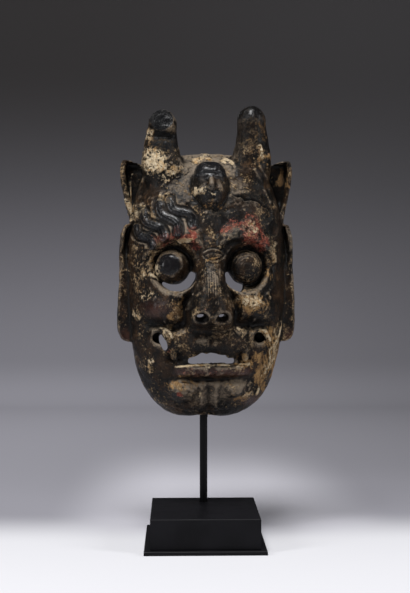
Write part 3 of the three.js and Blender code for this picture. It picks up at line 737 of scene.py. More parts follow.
redSpots = [
    (-48, 176, 11, 6, 25, 1.1), (-38, 181, 6, 8, 0, 1.0), (-18.6, 179, 7, 11, 0, 1.1),
    (-28, 178, 8, 5, 0, 0.9), (15, 183, 7, 6, 20, 0.8), (27, 190, 9, 5, 20, 0.8),
    (42, 186, 11, 14, -25, 1.1), (53, 172, 6, 8, -40, 1.0), (-28.7, 22, 2.6, 3, 0, 1.2),
    (-40, 66, 4, 3, 0, 0.6), (-12, 44, 17, 3, 0, 0.4), (30, 45, 14, 2.4, 0, 0.35),
]
ochreSpots = [
    (50, 284, 11, 16, 0, 0.46), (54, 262, 6, 9, 20, 0.9), (56, 290, 4, 14, 0, 0.6),
    (-44, 276, 11, 6, 0, 0.5), (-60, 282, 4, 12, 0, 0.7), (-52, 262, 14, 14, 0, 0.5),
    (62, 57, 12, 30, -13, 0.85), (38, 112, 15, 11, -10, 0.8), (-31, 107, 9, 12, 20, 0.65),
    (-40, 84, 8, 8, 20, 0.6), (-23, 33, 19, 7, 0, 0.6), (33, 16, 14, 6, 0, 0.6),
    (2.6, 159.4, 5.5, 2.4, 0, 1.0), (-72, 150, 8, 40, 0, 0.25), (77, 240, 5, 12, 0, 0.9),
    (37, 55, 7, 7, 0, 0.9), (40, 184, 12, 14, -20, 0.5), (-44, 84, 6, 8, 35, 0.6),
    (0, 209, 9, 6, 0, 0.6), (-62, 205, 8, 14, 0, 0.5), (62, 150, 5, 18, -6, 0.5),
]


def spotField(x, z, spots, warpX, warpZ):
    total = np.zeros(len(x))
    for spotX, spotZ, halfX, halfZ, turn, strength in spots:
        turn = math.radians(turn)
        dx, dz = x + warpX - spotX, z + warpZ - spotZ
        along = (dx * math.cos(turn) + dz * math.sin(turn)) / (halfX * 1.35)
        over = (-dx * math.sin(turn) + dz * math.cos(turn)) / (halfZ * 1.35)
        total = np.maximum(total, strength * np.clip(1 - (along ** 2 + over ** 2), 0, 1) ** 0.6)
    return total


def distanceToPath(x, z, path):
    nearest = np.full(len(x), 1e6)
    for (ax, az), (bx, bz) in zip(path, path[1:]):
        length = (bx - ax) ** 2 + (bz - az) ** 2
        t = np.clip(((x - ax) * (bx - ax) + (z - az) * (bz - az)) / length, 0, 1)
        nearest = np.minimum(nearest, np.hypot(x - ax - t * (bx - ax), z - az - t * (bz - az)))
    return nearest


ridgePaths = [
    [(52, 250), (60, 236), (67, 220), (72, 200)], [(46, 246), (56, 230), (63, 215)],
    [(-60, 247), (-66, 232), (-71, 216), (-73, 198)], [(-13, 160), (-12, 140), (-15, 122), (-22, 108)],
    [(13, 160), (12, 140), (15, 122), (22, 108)], [(-62, 168), (-66, 150), (-64, 132), (-56, 122)],
    [(62, 168), (67, 150), (65, 132), (57, 122)], [(-44, 96), (-38, 88), (-40, 78)],
    [(44, 96), (40, 88), (41, 78)],
]
crackPath = [
    (28, 219), (32.7, 219.7), (35.5, 215.8), (42, 217), (49, 215.5), (52, 213), (55, 210), (60, 208.6),
    (64, 204),
]
creamLines = [
    [(-34, 49.8), (-16, 50.6), (2, 51.4), (22, 51.3), (42, 51.8)],
    [(76, 91), (72, 77), (60, 65), (63, 50), (55, 39), (50, 20)],
    [(-49, 88), (-42, 86), (-37, 79), (-33.5, 71)], [(45, 87), (56, 85), (60, 75)], [(27, 88), (39, 81)],
    [(-76, 245), (-78, 222), (-77, 196)], [(-68, 158), (-66, 148), (-63.5, 139)],
]
hornCap = {"x": -47.0, "z": 297.5, "across": 13.0, "up": 12.0, "forward": 30.0, "lean": 0.22, "notch": 7.0}


def capShare(x, z):
    return np.hypot((x - hornCap["x"]) / hornCap["across"], (z - hornCap["z"]) / hornCap["up"])


# the left horn's end is cut flat, with a dark notch under it
def flattenHornCap(points, facing):
    x, z, forward = points[:, 0], points[:, 2], -points[:, 1]
    plane = hornCap["forward"] - hornCap["lean"] * (z - hornCap["z"])
    weight = (1 - rise(capShare(x, z), 0.86, 1.02)) * (facing > 0.05)
    forward = forward + (plane - forward) * weight
    under = bell(np.hypot((x + 45) / 16, (z - 281) / 9)) * (facing > 0.05)
    return -(forward - hornCap["notch"] * under)


# Heights in millimetres of what is carved or worn into the skin
reliefForm = {
    "waves": 0.75,
    "ripples": 0.2,
    "gouges": 1.1,
    "crack": 3.0,
    "ridges": 1.1,
    "lockGaps": 1.4,
    "creamLines": 0.9,
    "striae": 0.2,
    "rings": 0.18,
    "chinArcs": 0.4,
    "jawGrain": 0.5,
    "flakes": 0.7,
}


def carveRelief(points, facing, inside, front):
    x, y, z = points.T
    side, forward, outer = np.abs(x), -y, 1 - inside
    form = reliefForm
    shape = (form["waves"] * cloud(points, 17, 3, 3) + form["ripples"] * cloud(points, 4.2, 11, 2)) * outer
    # tool marks in the hollow
    gougeAcross = np.sin(x / 3.6 + 0.9 * lumps(points, 40, 5))
    gougeUp = np.sin(z / 7.5 + 1.7 * lumps(points, 25, 8))
    shape += inside * (form["gouges"] * np.abs(gougeAcross * gougeUp) - 0.5)
    crack = distanceToPath(x, z, crackPath)
    shape -= form["crack"] * bell(crack / 1.5) * front
    # lids of the third eye
    almond = 3.8 * np.clip(1 - ((x - thirdX) / 10.5) ** 2, 0, 1)
    off = np.abs(z - thirdZ) - almond
    lids = 0.5 * bell((off - 2) / 1.6) - 1.5 * bell(off / 1.1)
    lids -= 0.9 * bell((off - 4.2) / 1.2) * (z > thirdZ)
    shape += lids * (almond > 0.2) * front
    # ridges, and the sunk ground around the brow locks
    wander = 1.2 * lumps(points, 12, 71)
    for path in ridgePaths:
        shape += front * form["ridges"] * bell(distanceToPath(x + wander, z + wander, path) / 3.2)
    fromLock = np.minimum.reduce([distanceToPath(x, z, lockPath(turn, lock))
                                  for turn in (-1, 1) for lock in browLocks])
    strength = np.where(x < 0, 1.0, 0.18) * front
    gap = rise(fromLock, 3.4, 4.6) * (1 - rise(fromLock, 5.0, 7.5)) * strength * rise(z, 166, 174)
    shape -= form["lockGaps"] * gap
    locks = (1 - rise(fromLock, 2.8, 4.4)) * strength
    line = np.minimum.reduce([distanceToPath(x + wander, z + 0.4 * wander, path) for path in creamLines])
    broken = rise(cloud(points, 10, 91, 3), -0.5, 0.35)
    shape += form["creamLines"] * bell(line / 2) * front * broken
    # grooves on the nose, rings on the right eyeball, arcs on the chin and bare grain on the jaw
    striae = np.sin(x * 2.7 + 1.1 * lumps(points, 9, 21)) * bell(side / 15) * bell((z - 128) / 24)
    shape += form["striae"] * striae * (forward > 62)
    fromEye = np.hypot(side - eyeX, z - eyeZ)
    rings = np.sin(fromEye * 2 * math.pi / 2.6) * (x > 0)
    ball = 1 - rise(fromEye, 15.5, 17.5)
    shape += (form["rings"] + 0.1 * lumps(points, 8, 57)) * rings * ball * (forward > 50)
    arcs = np.sin(np.hypot(x + 24, z - 14) * 1.5) * bell(np.hypot((x + 24) / 22, (z - 32) / 12))
    shape += form["chinArcs"] * arcs * front
    jaw = np.sin((x * 0.974 + z * 0.226) * 1.9 + 1.4 * lumps(points, 14, 77))
    shape += form["jawGrain"] * jaw * bell(np.hypot((x - 62) / 16, (z - 58) / 36)) * front
    # flakes of cream ground stand proud
    warpX, warpZ = 4.2 * cloud(points, 9, 31, 4), 4.2 * cloud(points, 9, 47, 4)
    cream = spotField(x, z, creamSpots, warpX, warpZ) * rise(facing, -0.3, 0.1) * outer
    flake = 0.5 + 0.5 * cloud(points, 5, 61, 3)
    cream = np.maximum(cream, 1.3 * (1 - rise(line, 0.5, 1.5)) * front * broken)
    shape += form["flakes"] * rise(cream + 0.9 * (flake - 0.5), 0.5, 0.62) * outer
    marks = {"crack": crack, "gap": gap, "locks": locks, "ball": ball, "cream": cream, "warpX": warpX,
             "warpZ": warpZ}
    return shape, marks


# paints the masks for paint, wear, painted highlights and painted shade
def paintWearAndLight(mesh, points, normals, facing, inside, front, marks, fine, broad):
    x, y, z = points.T
    side, forward, outer = np.abs(x), -y, 1 - inside
    crack, gap, locks, cream = marks["crack"], marks["gap"], marks["locks"], marks["cream"]
    red = spotField(x, z, redSpots, marks["warpX"], marks["warpZ"]) * front
    ochre = spotField(x, z, ochreSpots, marks["warpX"] * 1.4, marks["warpZ"] * 1.4) * outer
    edge = rise(-fine, 0.03, 0.3) * rise(crack, 2.5, 5)
    # painted shade in creases, lock gaps and broad hollows; the open ear backs are kept lighter
    creaseShade = np.maximum(rise(fine, 0.03, 0.28), 0.9 * gap)
    opened = 0.6 * rise(side, 74, 80) * ((z < 200) | (x > 0))
    cavityShade = rise(broad, 0.2, 2.0) * (1 - opened)
    upward = rise(normals[:, 2], 0.1, 0.8)
    proud = forward - faceFront(x, z)
    little = rise(proud, 3, 7) * (np.abs(x - 1) < 21) * (z > 200) * (z < 262)
    horn = rise(z, 262, 276)

    # grey dust on upper faces, edges and the parts that hands touch, mixed with painted highlights: upward
    # faces, lower lid rims, chin lobes, nose sides and upper lip are lightened as if lit from above, and
    # forehead, nose and chin get a painted sheen
    rimHighlight = bell((socketShare(side, z) - 1.14) / 0.22) * rise(eyeZ - z, 8, 20) * (forward > 20)
    rimHighlight = rimHighlight * np.where(x < 0, 0.25 + bell((x + 26) / 13), 0.35)
    lobeHighlight = bell(np.hypot((side - 29) / 17, (z - 32) / 12)) * front
    noseEdge = np.interp(z, [100, 119, 131, 140], [23, 20.6, 14, 12.5])
    noseSideHighlight = bell((side - noseEdge) / 2.2) * bell((z - 122) / 28)
    dustAndSheen = bell(np.hypot(side / 60, (z - 222) / 30)) + bell(np.hypot(side / 24, (z - 122) / 36))
    dustAndSheen = dustAndSheen + 1.6 * bell(np.hypot(side / 52, (z - 26) / 28))
    dustAndHighlight = np.clip(0.75 * upward + 0.6 * edge + 0.16 * dustAndSheen * front, 0, 1) * (1 - cavityShade)
    dustAndHighlight = dustAndHighlight * np.where((side > 79) & (z > 190), 0.3, 1.0) * (1 - 0.7 * horn * (x > 0))
    dustAndHighlight = dustAndHighlight * (1 - 0.4 * marks["ball"] * (x > 0))
    # painted sheen over the chin
    dustAndHighlight = dustAndHighlight + 0.4 * bell(np.hypot(x / 56, (z - 22) / 26)) * front
    thirdLid = bell(np.hypot((x - thirdX) / 14, (z - thirdZ) / 10))
    upperLipHighlight = bell(np.hypot((x + 8) / 11, (z - 76) / 4))
    dustAndHighlight = dustAndHighlight * (1 - 0.25 * little) * (1 - 0.75 * thirdLid)
    dustAndHighlight = (dustAndHighlight + 0.32 * rimHighlight + 0.95 * lobeHighlight + 0.3 * noseSideHighlight + 0.6 * upperLipHighlight) * outer

    # painted shade: hollows, creases and lock gaps, sunk ground, the smile fold, under the nose and above
    # the mouth are darkened as if in shadow; the fangs' surroundings are darkened too, and the pupil, bare
    # horns and crack for their own dark colour
    sunk = rise(-proud, 2, 5) * outer * (side < 70)
    foldShadow = bell((z - foldZ - 1 - 0.006 * (side - foldX) ** 2) / 8)
    foldShadow = foldShadow * rise(side, 18, 28) * (1 - rise(side, 60, 72))
    fangs = bell(np.hypot((side - 35.6) / 7, (z - 65) / 12))
    bareHorn = horn * (1 - rise(cream, 0.25, 0.6))
    pupil = (1 - rise(np.hypot(x - eyeX - 1, z - eyeZ), 3, 6.5)) * (forward > 50)
    underNoseShadow = bell(np.hypot(side / 26, (z - 86) / 6))
    aboveMouthShadow = bell(np.hypot((x - 2) / 34, (z - 68) / 5))
    paintedShadeAndDarkTone = np.maximum.reduce([
        cavityShade, creaseShade, 0.95 * sunk, np.where(x > 0, 0.7, 0.5) * bareHorn, 0.8 * pupil, 0.75 * foldShadow,
        0.6 * fangs, 0.7 * underNoseShadow, 0.9 * aboveMouthShadow, rise(bell(crack / 2.0), 0.1, 0.7)])

    # wine-red lacquer, plain lacquer without flecks, and the glossy blue-black places, which also take the
    # painted shadow in the notch under the left horn's cap
    lip = bell((z - lipZ + 1) / 7.5) * (1 - rise(np.abs(x - lipX), 32, 42))
    wine = np.maximum.reduce([
        0.9 * lip, bell(np.hypot((x - 44) / 16, (z - 14) / 10)),
        0.8 * bell(np.hypot((x + 52) / 22, (z - 108) / 14)), 0.6 * bell((z - 76) / 16) * (side > 79)])
    plain = np.maximum.reduce([
        bell(np.hypot(side / 26, (z - 112) / 26)), bell(np.hypot(side / 48, (z - 76) / 18)), thirdLid,
        0.8 * bell(np.hypot((x + 30) / 30, (z - 12) / 22)), 0.6 * bareHorn, 0.7 * lip])
    iris = 1 - rise(np.hypot(x + 40.5, z - 151.5), 9.5, 11.5)
    cap = 1 - rise(capShare(x, z), 0.85, 1.0)
    cap = np.maximum(cap * (facing > 0), 0.8 * rise(z, 293, 303) * (x > 0))
    # painted shadow under the left horn's cap, kept free of dust
    notchX, notchZ = x + 43 + 0.4 * marks["warpX"], z - 275 + 0.4 * marks["warpZ"]
    notch = rise(1 - np.hypot(notchX / 16, notchZ / 12), 0, 0.35) * (facing > 0)
    hair = little * rise(z, 236.5, 239)
    crown = rise(z, 222, 262) * (1 - rise(side, 22, 60))
    gloss = np.maximum.reduce([0.95 * iris, 0.7 * hair, 0.35 * little, 0.75 * locks,
                               np.where(x > 0, 0.8, 0.3) * cap, 0.5 * wine])
    dustAndHighlight = dustAndHighlight * (1 - iris) * (1 - hair) * (1 - 0.6 * notch) * (1 - 0.6 * locks) * (1 - 0.7 * cap)
    flecked = front * (1 - np.maximum.reduce([gloss, cap, 0.8 * plain]))
    setColor(mesh, "paintLeft", [cream, red, ochre])
    # dust with painted highlights, painted shade, and worn edges
    setColor(mesh, "wearAndPaintedLight", [dustAndHighlight, paintedShadeAndDarkTone, edge])
    setColor(mesh, "part", [inside, flecked, gloss])
    setColor(mesh, "region", [wine * outer, crown, np.maximum.reduce([locks, iris, cap, notch, hair])])


def weatherMask(made):
    mesh = made.data
    edges = edgeTable(mesh)
    points = smoothed(readPoints(mesh), edges, 2)
    writePoints(mesh, points)
    # the horns and the ears grow out of the crown without a seam
    normals = readNormals(mesh)
    x, y, z = points.T
    joint = bell(np.hypot((np.abs(x) - 42) / 34, (z - 236) / 34)) * (normals[:, 1] < 0)
    points = points + (smoothed(points, edges, 140) - points) * np.clip(1.8 * joint, 0, 1)[:, None]
    points[:, 1] = flattenHornCap(points, -normals[:, 1])
    writePoints(mesh, points)

    normals = readNormals(mesh)
    x, y, z = points.T
    facing = -normals[:, 1]
    inside = rise(-facing, 0.0, 0.35) * (np.abs(x) < halfWidthAt(z) - 4) * (z > -1) * (z < 262) * (-y < 70)
    front = rise(facing, 0.0, 0.3) * (1 - inside)
    shape, marks = carveRelief(points, facing, inside, front)
    margin = rise(np.minimum.reduce([-y, z + 8]), 0, 3)
    ground = points
    points = points + normals * (shape * margin)[:, None]
    writePoints(mesh, points)

    normals = readNormals(mesh)
    fine = np.einsum('ij,ij->i', smoothed(points, edges, 8) - points, normals)
    broad = np.einsum('ij,ij->i', smoothed(points, edges, 90) - points, normals)
    paintWearAndLight(mesh, ground, normals, facing, inside, front, marks, fine, broad)
    print("mask weathered", len(points))


def setColor(mesh, name, channels):
    layer = mesh.color_attributes.new(name=name, type='FLOAT_COLOR', domain='POINT')
    values = np.ones((len(mesh.vertices), 4))
    for k, channel in enumerate(channels):
        values[:, k] = np.clip(channel, 0, 2)
    layer.data.foreach_set("color", values.reshape(-1))


# Materials
class Shader:
    def __init__(self, name):
        self.material = bpy.data.materials.new(name)
        self.material.use_nodes = True
        self.nodes = self.material.node_tree.nodes
        self.links = self.material.node_tree.links
        self.surface = self.nodes["Principled BSDF"]
        self.coordinates = self.nodes.new('ShaderNodeTexCoord').outputs["Object"]

    def put(self, socket, value):
        if isinstance(value, (int, float, tuple)):
            socket.default_value = value
        else:
            self.links.new(value, socket)

    def noise(self, scale, detail=4.0, roughness=0.6, distortion=0.0, stretch=None):
        node = self.nodes.new('ShaderNodeTexNoise')
        node.inputs["Scale"].default_value = scale
        node.inputs["Detail"].default_value = detail
        node.inputs["Roughness"].default_value = roughness
        node.inputs["Distortion"].default_value = distortion
        source = self.coordinates
        if stretch:
            mapping = self.nodes.new('ShaderNodeMapping')
            mapping.inputs["Scale"].default_value = stretch
            self.links.new(source, mapping.inputs["Vector"])
            source = mapping.outputs[0]
        self.links.new(source, node.inputs["Vector"])
        return node.outputs["Fac"]

    def cracks(self, scale, width):
        node = self.nodes.new('ShaderNodeTexVoronoi')
        node.feature = 'DISTANCE_TO_EDGE'
        node.inputs["Scale"].default_value = scale
        warp = self.nodes.new('ShaderNodeVectorMath')
        warp.operation = 'MULTIPLY_ADD'
        noise = self.nodes.new('ShaderNodeTexNoise')
        noise.inputs["Scale"].default_value = scale * 0.9
        noise.inputs["Detail"].default_value = 3.0
        self.links.new(self.coordinates, noise.inputs["Vector"])
        self.links.new(noise.outputs["Color"], warp.inputs[0])
        warp.inputs[1].default_value = (1.2 / scale,) * 3
        self.links.new(self.coordinates, warp.inputs[2])
        self.links.new(warp.outputs[0], node.inputs["Vector"])
        return self.ramp(node.outputs["Distance"], 0.0, width, 1.0, 0.0)

    def math(self, operation, first, second=0.0, third=None, clamp=False):
        node = self.nodes.new('ShaderNodeMath')
        node.operation = operation
        node.use_clamp = clamp
        self.put(node.inputs[0], first)
        self.put(node.inputs[1], second)
        if third is not None:
            self.put(node.inputs[2], third)
        return node.outputs[0]

    def ramp(self, value, low, high, toLow=0.0, toHigh=1.0):
        node = self.nodes.new('ShaderNodeMapRange')
        node.interpolation_type = 'SMOOTHSTEP'
        self.put(node.inputs["Value"], value)
        node.inputs["From Min"].default_value = low
        node.inputs["From Max"].default_value = high
        node.inputs["To Min"].default_value = toLow
        node.inputs["To Max"].default_value = toHigh
        return node.outputs[0]

    def mix(self, factor, first, second):
        node = self.nodes.new('ShaderNodeMix')
        node.data_type = 'RGBA'
        self.put(node.inputs["Factor"], factor)
        for socket, value in ((node.inputs[6], first), (node.inputs[7], second)):
            self.put(socket, (*value, 1.0) if isinstance(value, tuple) else value)
        return node.outputs[2]

    def mixValue(self, factor, first, second):
        node = self.nodes.new('ShaderNodeMix')
        self.put(node.inputs["Factor"], factor)
        self.put(node.inputs[2], first)
        self.put(node.inputs[3], second)
        return node.outputs[0]

    def channels(self, name):
        node = self.nodes.new('ShaderNodeAttribute')
        node.attribute_name = name
        split = self.nodes.new('ShaderNodeSeparateColor')
        self.links.new(node.outputs["Color"], split.inputs[0])
        return split.outputs[0], split.outputs[1], split.outputs[2]

    def bump(self, height, distance, strength=1.0, normal=None):
        node = self.nodes.new('ShaderNodeBump')
        node.inputs["Distance"].default_value = distance
        node.inputs["Strength"].default_value = strength
        self.put(node.inputs["Height"], height)
        if normal is not None:
            self.links.new(normal, node.inputs["Normal"])
        return node.outputs[0]


lacquerLook = {
    "black": (0.0050, 0.0042, 0.0036),
    "brown": (0.019, 0.0105, 0.0056),
    "umber": (0.056, 0.031, 0.0155),
    "wine": (0.040, 0.0125, 0.0075),
    "blueBlack": (0.0048, 0.0056, 0.0072),
    # grey for dust and for painted highlights
    "dustAndHighlight": (0.192, 0.152, 0.112),
    "wood": (0.125, 0.070, 0.032),
    "ochre": (0.300, 0.180, 0.075),
    "cream": (0.420, 0.310, 0.180),
    "pale": (0.540, 0.450, 0.320),
    "red": (0.150, 0.030, 0.018),
    "pink": (0.380, 0.180, 0.125),
    # near-black for the crackle lines and for painted shade
    "shadeAndCrackBlack": (0.0035, 0.0030, 0.0028),
    "inner": (0.070, 0.043, 0.025),
    "flecks": 0.59,
    "bump": 0.0009,
}


def makeLacquer():
    look = lacquerLook
    # worn lacquer whose colour also holds painted highlights and painted shade
    s = Shader("worn_lacquer_and_painted_light")
    cream, red, ochre = s.channels("paintLeft")
    dustAndHighlight, paintedShadeAndDarkTone, edge = s.channels("wearAndPaintedLight")
    inside, front, polished = s.channels("part")
    wine, crown, blackPartsAndNotchShade = s.channels("region")
    broadNoise = s.noise(34, 5, 0.62)
    patchNoise = s.noise(110, 6, 0.70, 0.8)
    flakeNoise = s.noise(250, 7, 0.74, 0.6)
    speckNoise = s.noise(560, 5, 0.72)
    grain = s.noise(300, 4, 0.6, 0.3, (1.0, 1.0, 0.09))

    def offset(noise, gain):
        return s.math('MULTIPLY', s.math('SUBTRACT', noise, 0.5), gain)

    def broken(field, *parts):  # a field with noises laid over it, each a noise and its gain
        over = offset(*parts[0])
        for part in parts[1:]:
            over = s.math('ADD', over, offset(*part))
        return s.math('ADD', field, over)

    mottle = broken(broadNoise, (patchNoise, 0.7), (speckNoise, 0.35))
    base = s.mix(s.ramp(mottle, 0.46, 0.64), look["black"], look["brown"])
    umberEdge = s.ramp(broken(s.noise(70, 6, 0.72, 0.5), (speckNoise, 0.4)), 0.54, 0.71)
    base = s.mix(umberEdge, base, look["umber"])
    wineShare = s.math('MULTIPLY', wine, s.ramp(mottle, 0.36, 0.6, 0.5, 0.95))
    base = s.mix(wineShare, base, look["wine"])
    # grey wear and dust on upper and outer edges and on the crown, mixed with painted highlights on upward
    # faces, lid rims, chin lobes, nose sides and upper lip
    worn = s.math('ADD', dustAndHighlight, s.math('MULTIPLY', crown, 0.45))
    rubAndHighlight = s.ramp(broken(worn, (patchNoise, 1.6), (speckNoise, 1.1)), 0.28, 1.05)
    base = s.mix(s.math('MULTIPLY', rubAndHighlight, 0.85), base, look["dustAndHighlight"])
    # bare wood, red left on the brows, then cream ground
    ochreEdge = s.ramp(broken(ochre, (patchNoise, 1.9), (speckNoise, 1.0)), 0.44, 0.66)
    base = s.mix(ochreEdge, base, s.mix(s.ramp(grain, 0.38, 0.64), look["wood"], look["ochre"]))
    redEdge = s.ramp(broken(red, (patchNoise, 2.6), (speckNoise, 2.6)), 0.56, 0.92)
    chalky = s.math('ADD', speckNoise, s.math('MULTIPLY', cream, 0.12))
    redTone = s.mix(s.ramp(chalky, 0.52, 0.68), look["red"], look["pink"])
    base = s.mix(redEdge, base, redTone)
    creamEdge = s.ramp(broken(cream, (flakeNoise, 2.4), (patchNoise, 1.3)), 0.62, 0.74)
    # stray flecks of ground and wood all over
    fleckClouds = s.math('ADD', offset(s.noise(46, 4, 0.6), 0.75), s.math('MULTIPLY', edge, 0.07))
    fleckField = s.math('ADD', s.noise(360, 6, 0.74, 0.5), fleckClouds)
    fleck = s.math('MULTIPLY', s.ramp(fleckField, look["flecks"], look["flecks"] + 0.06), front)
    fleckTone = s.mix(s.ramp(speckNoise, 0.42, 0.60), look["wood"], look["cream"])
    base = s.mix(s.math('MULTIPLY', fleck, 0.8), base, fleckTone)
    creamTone = s.mix(s.ramp(speckNoise, 0.36, 0.62), look["cream"], look["pale"])
    creamTone = s.mix(s.ramp(patchNoise, 0.46, 0.66), creamTone, look["ochre"])
    base = s.mix(creamEdge, base, creamTone)
    cracks = s.cracks(230, 0.035)
    base = s.mix(s.math('MULTIPLY', cracks, 0.35), base, look["shadeAndCrackBlack"])
    # glossy blue-black on the locks, iris, caps and hair, and painted shadow in the notch under the left
    # horn's cap
    base = s.mix(s.math('MULTIPLY', blackPartsAndNotchShade, 0.85), base, look["blueBlack"])
    base = s.mix(inside, base, s.mix(s.ramp(grain, 0.35, 0.7), look["inner"], look["wood"]))
    # painted shade in hollows, creases, the smile fold, under the nose and above the mouth, with the own
    # dark of the pupil, bare horns and crack
    base = s.mix(s.math('MULTIPLY', paintedShadeAndDarkTone, 0.9), base, look["shadeAndCrackBlack"])
    s.put(s.surface.inputs["Base Color"], base)
    gloss = s.mixValue(s.ramp(patchNoise, 0.38, 0.66), 0.30, 0.52)
    gloss = s.mixValue(rubAndHighlight, gloss, 0.62)
    gloss = s.mixValue(s.math('MAXIMUM', s.math('MAXIMUM', creamEdge, ochreEdge), inside), gloss, 0.82)
    gloss = s.mixValue(s.math('MULTIPLY', polished, 0.9), gloss, 0.13)
    s.put(s.surface.inputs["Roughness"], gloss)
    shine = s.ramp(polished, 0.8, 0.93, 0.4, 0.14)
    s.put(s.surface.inputs["Specular IOR Level"], s.mixValue(polished, 0.12, shine))
    layers = s.math('ADD', s.math('MULTIPLY', creamEdge, 0.9), s.math('MULTIPLY', redEdge, 0.5))
    layers = s.math('ADD', layers, s.math('MULTIPLY', fleck, 0.5))
    roughened = s.math('ADD', s.math('MULTIPLY', flakeNoise, 0.55), s.math('MULTIPLY', speckNoise, 0.25))
    height = s.math('ADD', layers, roughened)
    height = s.math('SUBTRACT', height, s.math('MULTIPLY', cracks, 0.6))
    height = s.math('MULTIPLY', height, s.math('SUBTRACT', 1.0, s.math('MULTIPLY', polished, 0.75)))
    s.put(s.surface.inputs["Normal"], s.bump(height, look["bump"], 0.9))
    return s.material


def makeSatinBlack(name, tone, roughness, bumpScale):
    s = Shader(name)
    smear = s.noise(30, 4, 0.6)
    speck = s.noise(bumpScale, 3, 0.6)
    paler = tuple(1.7 * c for c in tone)
    s.put(s.surface.inputs["Base Color"], s.mix(s.ramp(smear, 0.35, 0.7), tone, paler))
    s.put(s.surface.inputs["Roughness"], s.ramp(smear, 0.3, 0.7, roughness - 0.06, roughness + 0.08))
    s.surface.inputs["Specular IOR Level"].default_value = 0.1
    s.put(s.surface.inputs["Normal"], s.bump(speck, 0.00012, 0.5))
    return s.material


mask = buildMask()
weatherMask(mask)
mask.name = "mask_carved"
mask.data.name = "mask_carved"
toMetres = 0.001
mask.data.transform(Matrix.Translation([toMetres * v for v in maskPlace["shift"]])
                    @ Matrix.Rotation(maskPlace["turn"], 4, 'Z') @ Matrix.Scale(toMetres, 4))
mask.data.materials.clear()
mask.data.materials.append(makeLacquer())
for polygon in mask.data.polygons:
    polygon.use_smooth = True
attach(mask, "root")
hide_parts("mask")

# tone, roughness and bump scale of the stand's paint
standLook = {
    "rod_with_clip": ((0.0028, 0.0028, 0.0032), 0.34, 900),
    "base_block": ((0.0038, 0.0037, 0.0046), 0.5, 1500),
    "base_plate": ((0.0038, 0.0037, 0.0046), 0.5, 1500),
}
for node, (tone, roughness, bumpScale) in standLook.items():
    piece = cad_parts[node]
    piece.data.materials.clear()
    piece.data.materials.append(makeSatinBlack(node + "_paint", tone, roughness, bumpScale))
print("stand painted")

# Stage, lights and camera
stageSize = {"width": 7.0, "near": -3.0, "wallY": 1.15, "bend": 0.5, "height": 3.2}
# the front is the paper's own near-white; the other tones paint light falloff, a pool of light and shade
# onto it
paperAndLightTones = {
    "front": (0.80, 0.80, 0.84),
    "middle": (0.345, 0.34, 0.385),
    "paintedLightPool": (0.74, 0.73, 0.80),
    "far": (0.485, 0.478, 0.54),
    "top": (0.029, 0.0265, 0.027),
    "shade": (0.06, 0.058, 0.062),
}
lightPlan = {
    "top_softbox": {"at": (-0.25, -0.85, 2.1), "to": (0, -0.02, 0.2), "size": (0.8, 0.7), "watts": 56},
    "left_softbox": {"at": (-1.2, -0.7, 0.7), "to": (0, 0, 0.28), "size": (0.3, 0.7), "watts": 8},
    "right_softbox": {"at": (1.1, -0.5, 0.6), "to": (0, 0, 0.25), "size": (0.25, 0.6), "watts": 6},
}


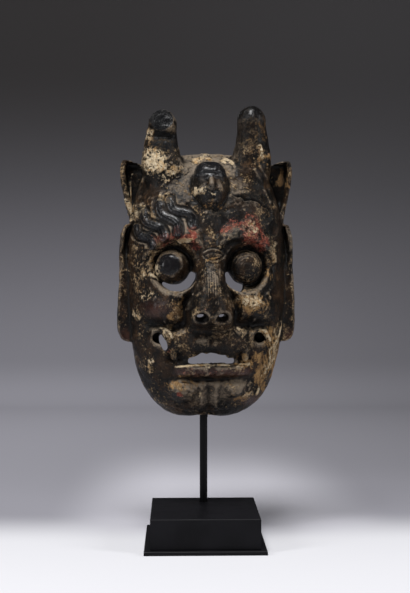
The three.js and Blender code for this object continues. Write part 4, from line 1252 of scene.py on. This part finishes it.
def makeSweep():
    profile = [(stageSize["near"], 0.0)]
    bend, wallY = stageSize["bend"], stageSize["wallY"]
    for step in range(25):
        angle = math.pi / 2 * step / 24
        profile.append((wallY + bend * math.sin(angle), bend * (1 - math.cos(angle))))
    profile.append((wallY + bend, stageSize["height"]))
    half = stageSize["width"] / 2
    points = [(x, y, z) for y, z in profile for x in (-half, half)]
    faces = [(2 * i, 2 * i + 1, 2 * i + 3, 2 * i + 2) for i in range(len(profile) - 1)]
    mesh = bpy.data.meshes.new("floor_sweep")
    mesh.from_pydata(points, [], faces)
    made = bpy.data.objects.new("floor_sweep", mesh)
    bpy.context.scene.collection.objects.link(made)
    for polygon in mesh.polygons:
        polygon.use_smooth = True
    s = Shader("sweep_paper")
    split = s.nodes.new('ShaderNodeSeparateXYZ')
    s.links.new(s.coordinates, split.inputs[0])
    across, back, up = split.outputs
    # painted light falloff: the floor darkens further back
    tone = s.mix(s.ramp(back, -0.005, 0.14), paperAndLightTones["front"], paperAndLightTones["middle"])
    # painted pool of light close behind the base
    aside = s.ramp(s.math('ABSOLUTE', s.math('SUBTRACT', across, 0.02)), 0.05, 0.2, 1.0, 0.0)
    paintedLightPool = s.math('MULTIPLY', s.ramp(back, 0.0, 0.1), s.ramp(back, 0.26, 0.75, 1.0, 0.0))
    tone = s.mix(s.math('MULTIPLY', paintedLightPool, aside), tone, paperAndLightTones["paintedLightPool"])
    # painted light: the far floor and the foot of the wall are lifted to a lighter tone
    lift = s.math('MULTIPLY', s.ramp(back, 0.25, 1.05), s.ramp(up, 0.0, 0.085, 1.0, 0.0))
    tone = s.mix(lift, tone, paperAndLightTones["far"])
    # painted falloff: darker towards the top
    tone = s.mix(s.ramp(up, -0.3, 0.80), tone, paperAndLightTones["top"])
    # painted shade: darker towards the right and back
    shade = s.math('MULTIPLY', s.ramp(across, -0.35, 0.65), s.ramp(back, -0.1, 0.5))
    tone = s.mix(s.math('MULTIPLY', shade, 0.42), tone, paperAndLightTones["shade"])
    s.put(s.surface.inputs["Base Color"], tone)
    s.surface.inputs["Roughness"].default_value = 0.95
    mesh.materials.append(s.material)


def addSoftbox(name, plan):
    light = bpy.data.lights.new(name, 'AREA')
    light.shape = 'RECTANGLE'
    light.size, light.size_y = plan["size"]
    light.energy = plan["watts"]
    made = bpy.data.objects.new(name, light)
    made.location = plan["at"]
    aim = Vector(plan["to"]) - Vector(plan["at"])
    made.rotation_euler = aim.to_track_quat('-Z', 'Y').to_euler()
    bpy.context.scene.collection.objects.link(made)


makeSweep()
for name, plan in lightPlan.items():
    addSoftbox(name, plan)
bpy.context.scene.view_settings.view_transform = 'Standard'
world = bpy.data.worlds.new("room")
bpy.context.scene.world = world
world.use_nodes = True
world.node_tree.nodes["Background"].inputs[0].default_value = (0.5, 0.5, 0.52, 1)
world.node_tree.nodes["Background"].inputs[1].default_value = 0.04

cameraPlace = {"location": (-0.0284, -1.133, 0.270), "right": 1.4706, "down": 1.0505, "lens": 67.87}
lens = bpy.data.cameras.new("camera")
lens.lens = cameraPlace["lens"]
lens.sensor_width = 36.0
lens.clip_end = 50
camera = bpy.data.objects.new("camera", lens)
camera.location = cameraPlace["location"]
camera.rotation_euler = (math.radians(90 - cameraPlace["down"]), 0, math.radians(-cameraPlace["right"]))
bpy.context.scene.collection.objects.link(camera)
bpy.context.scene.camera = camera
print("stage, lights and camera set")
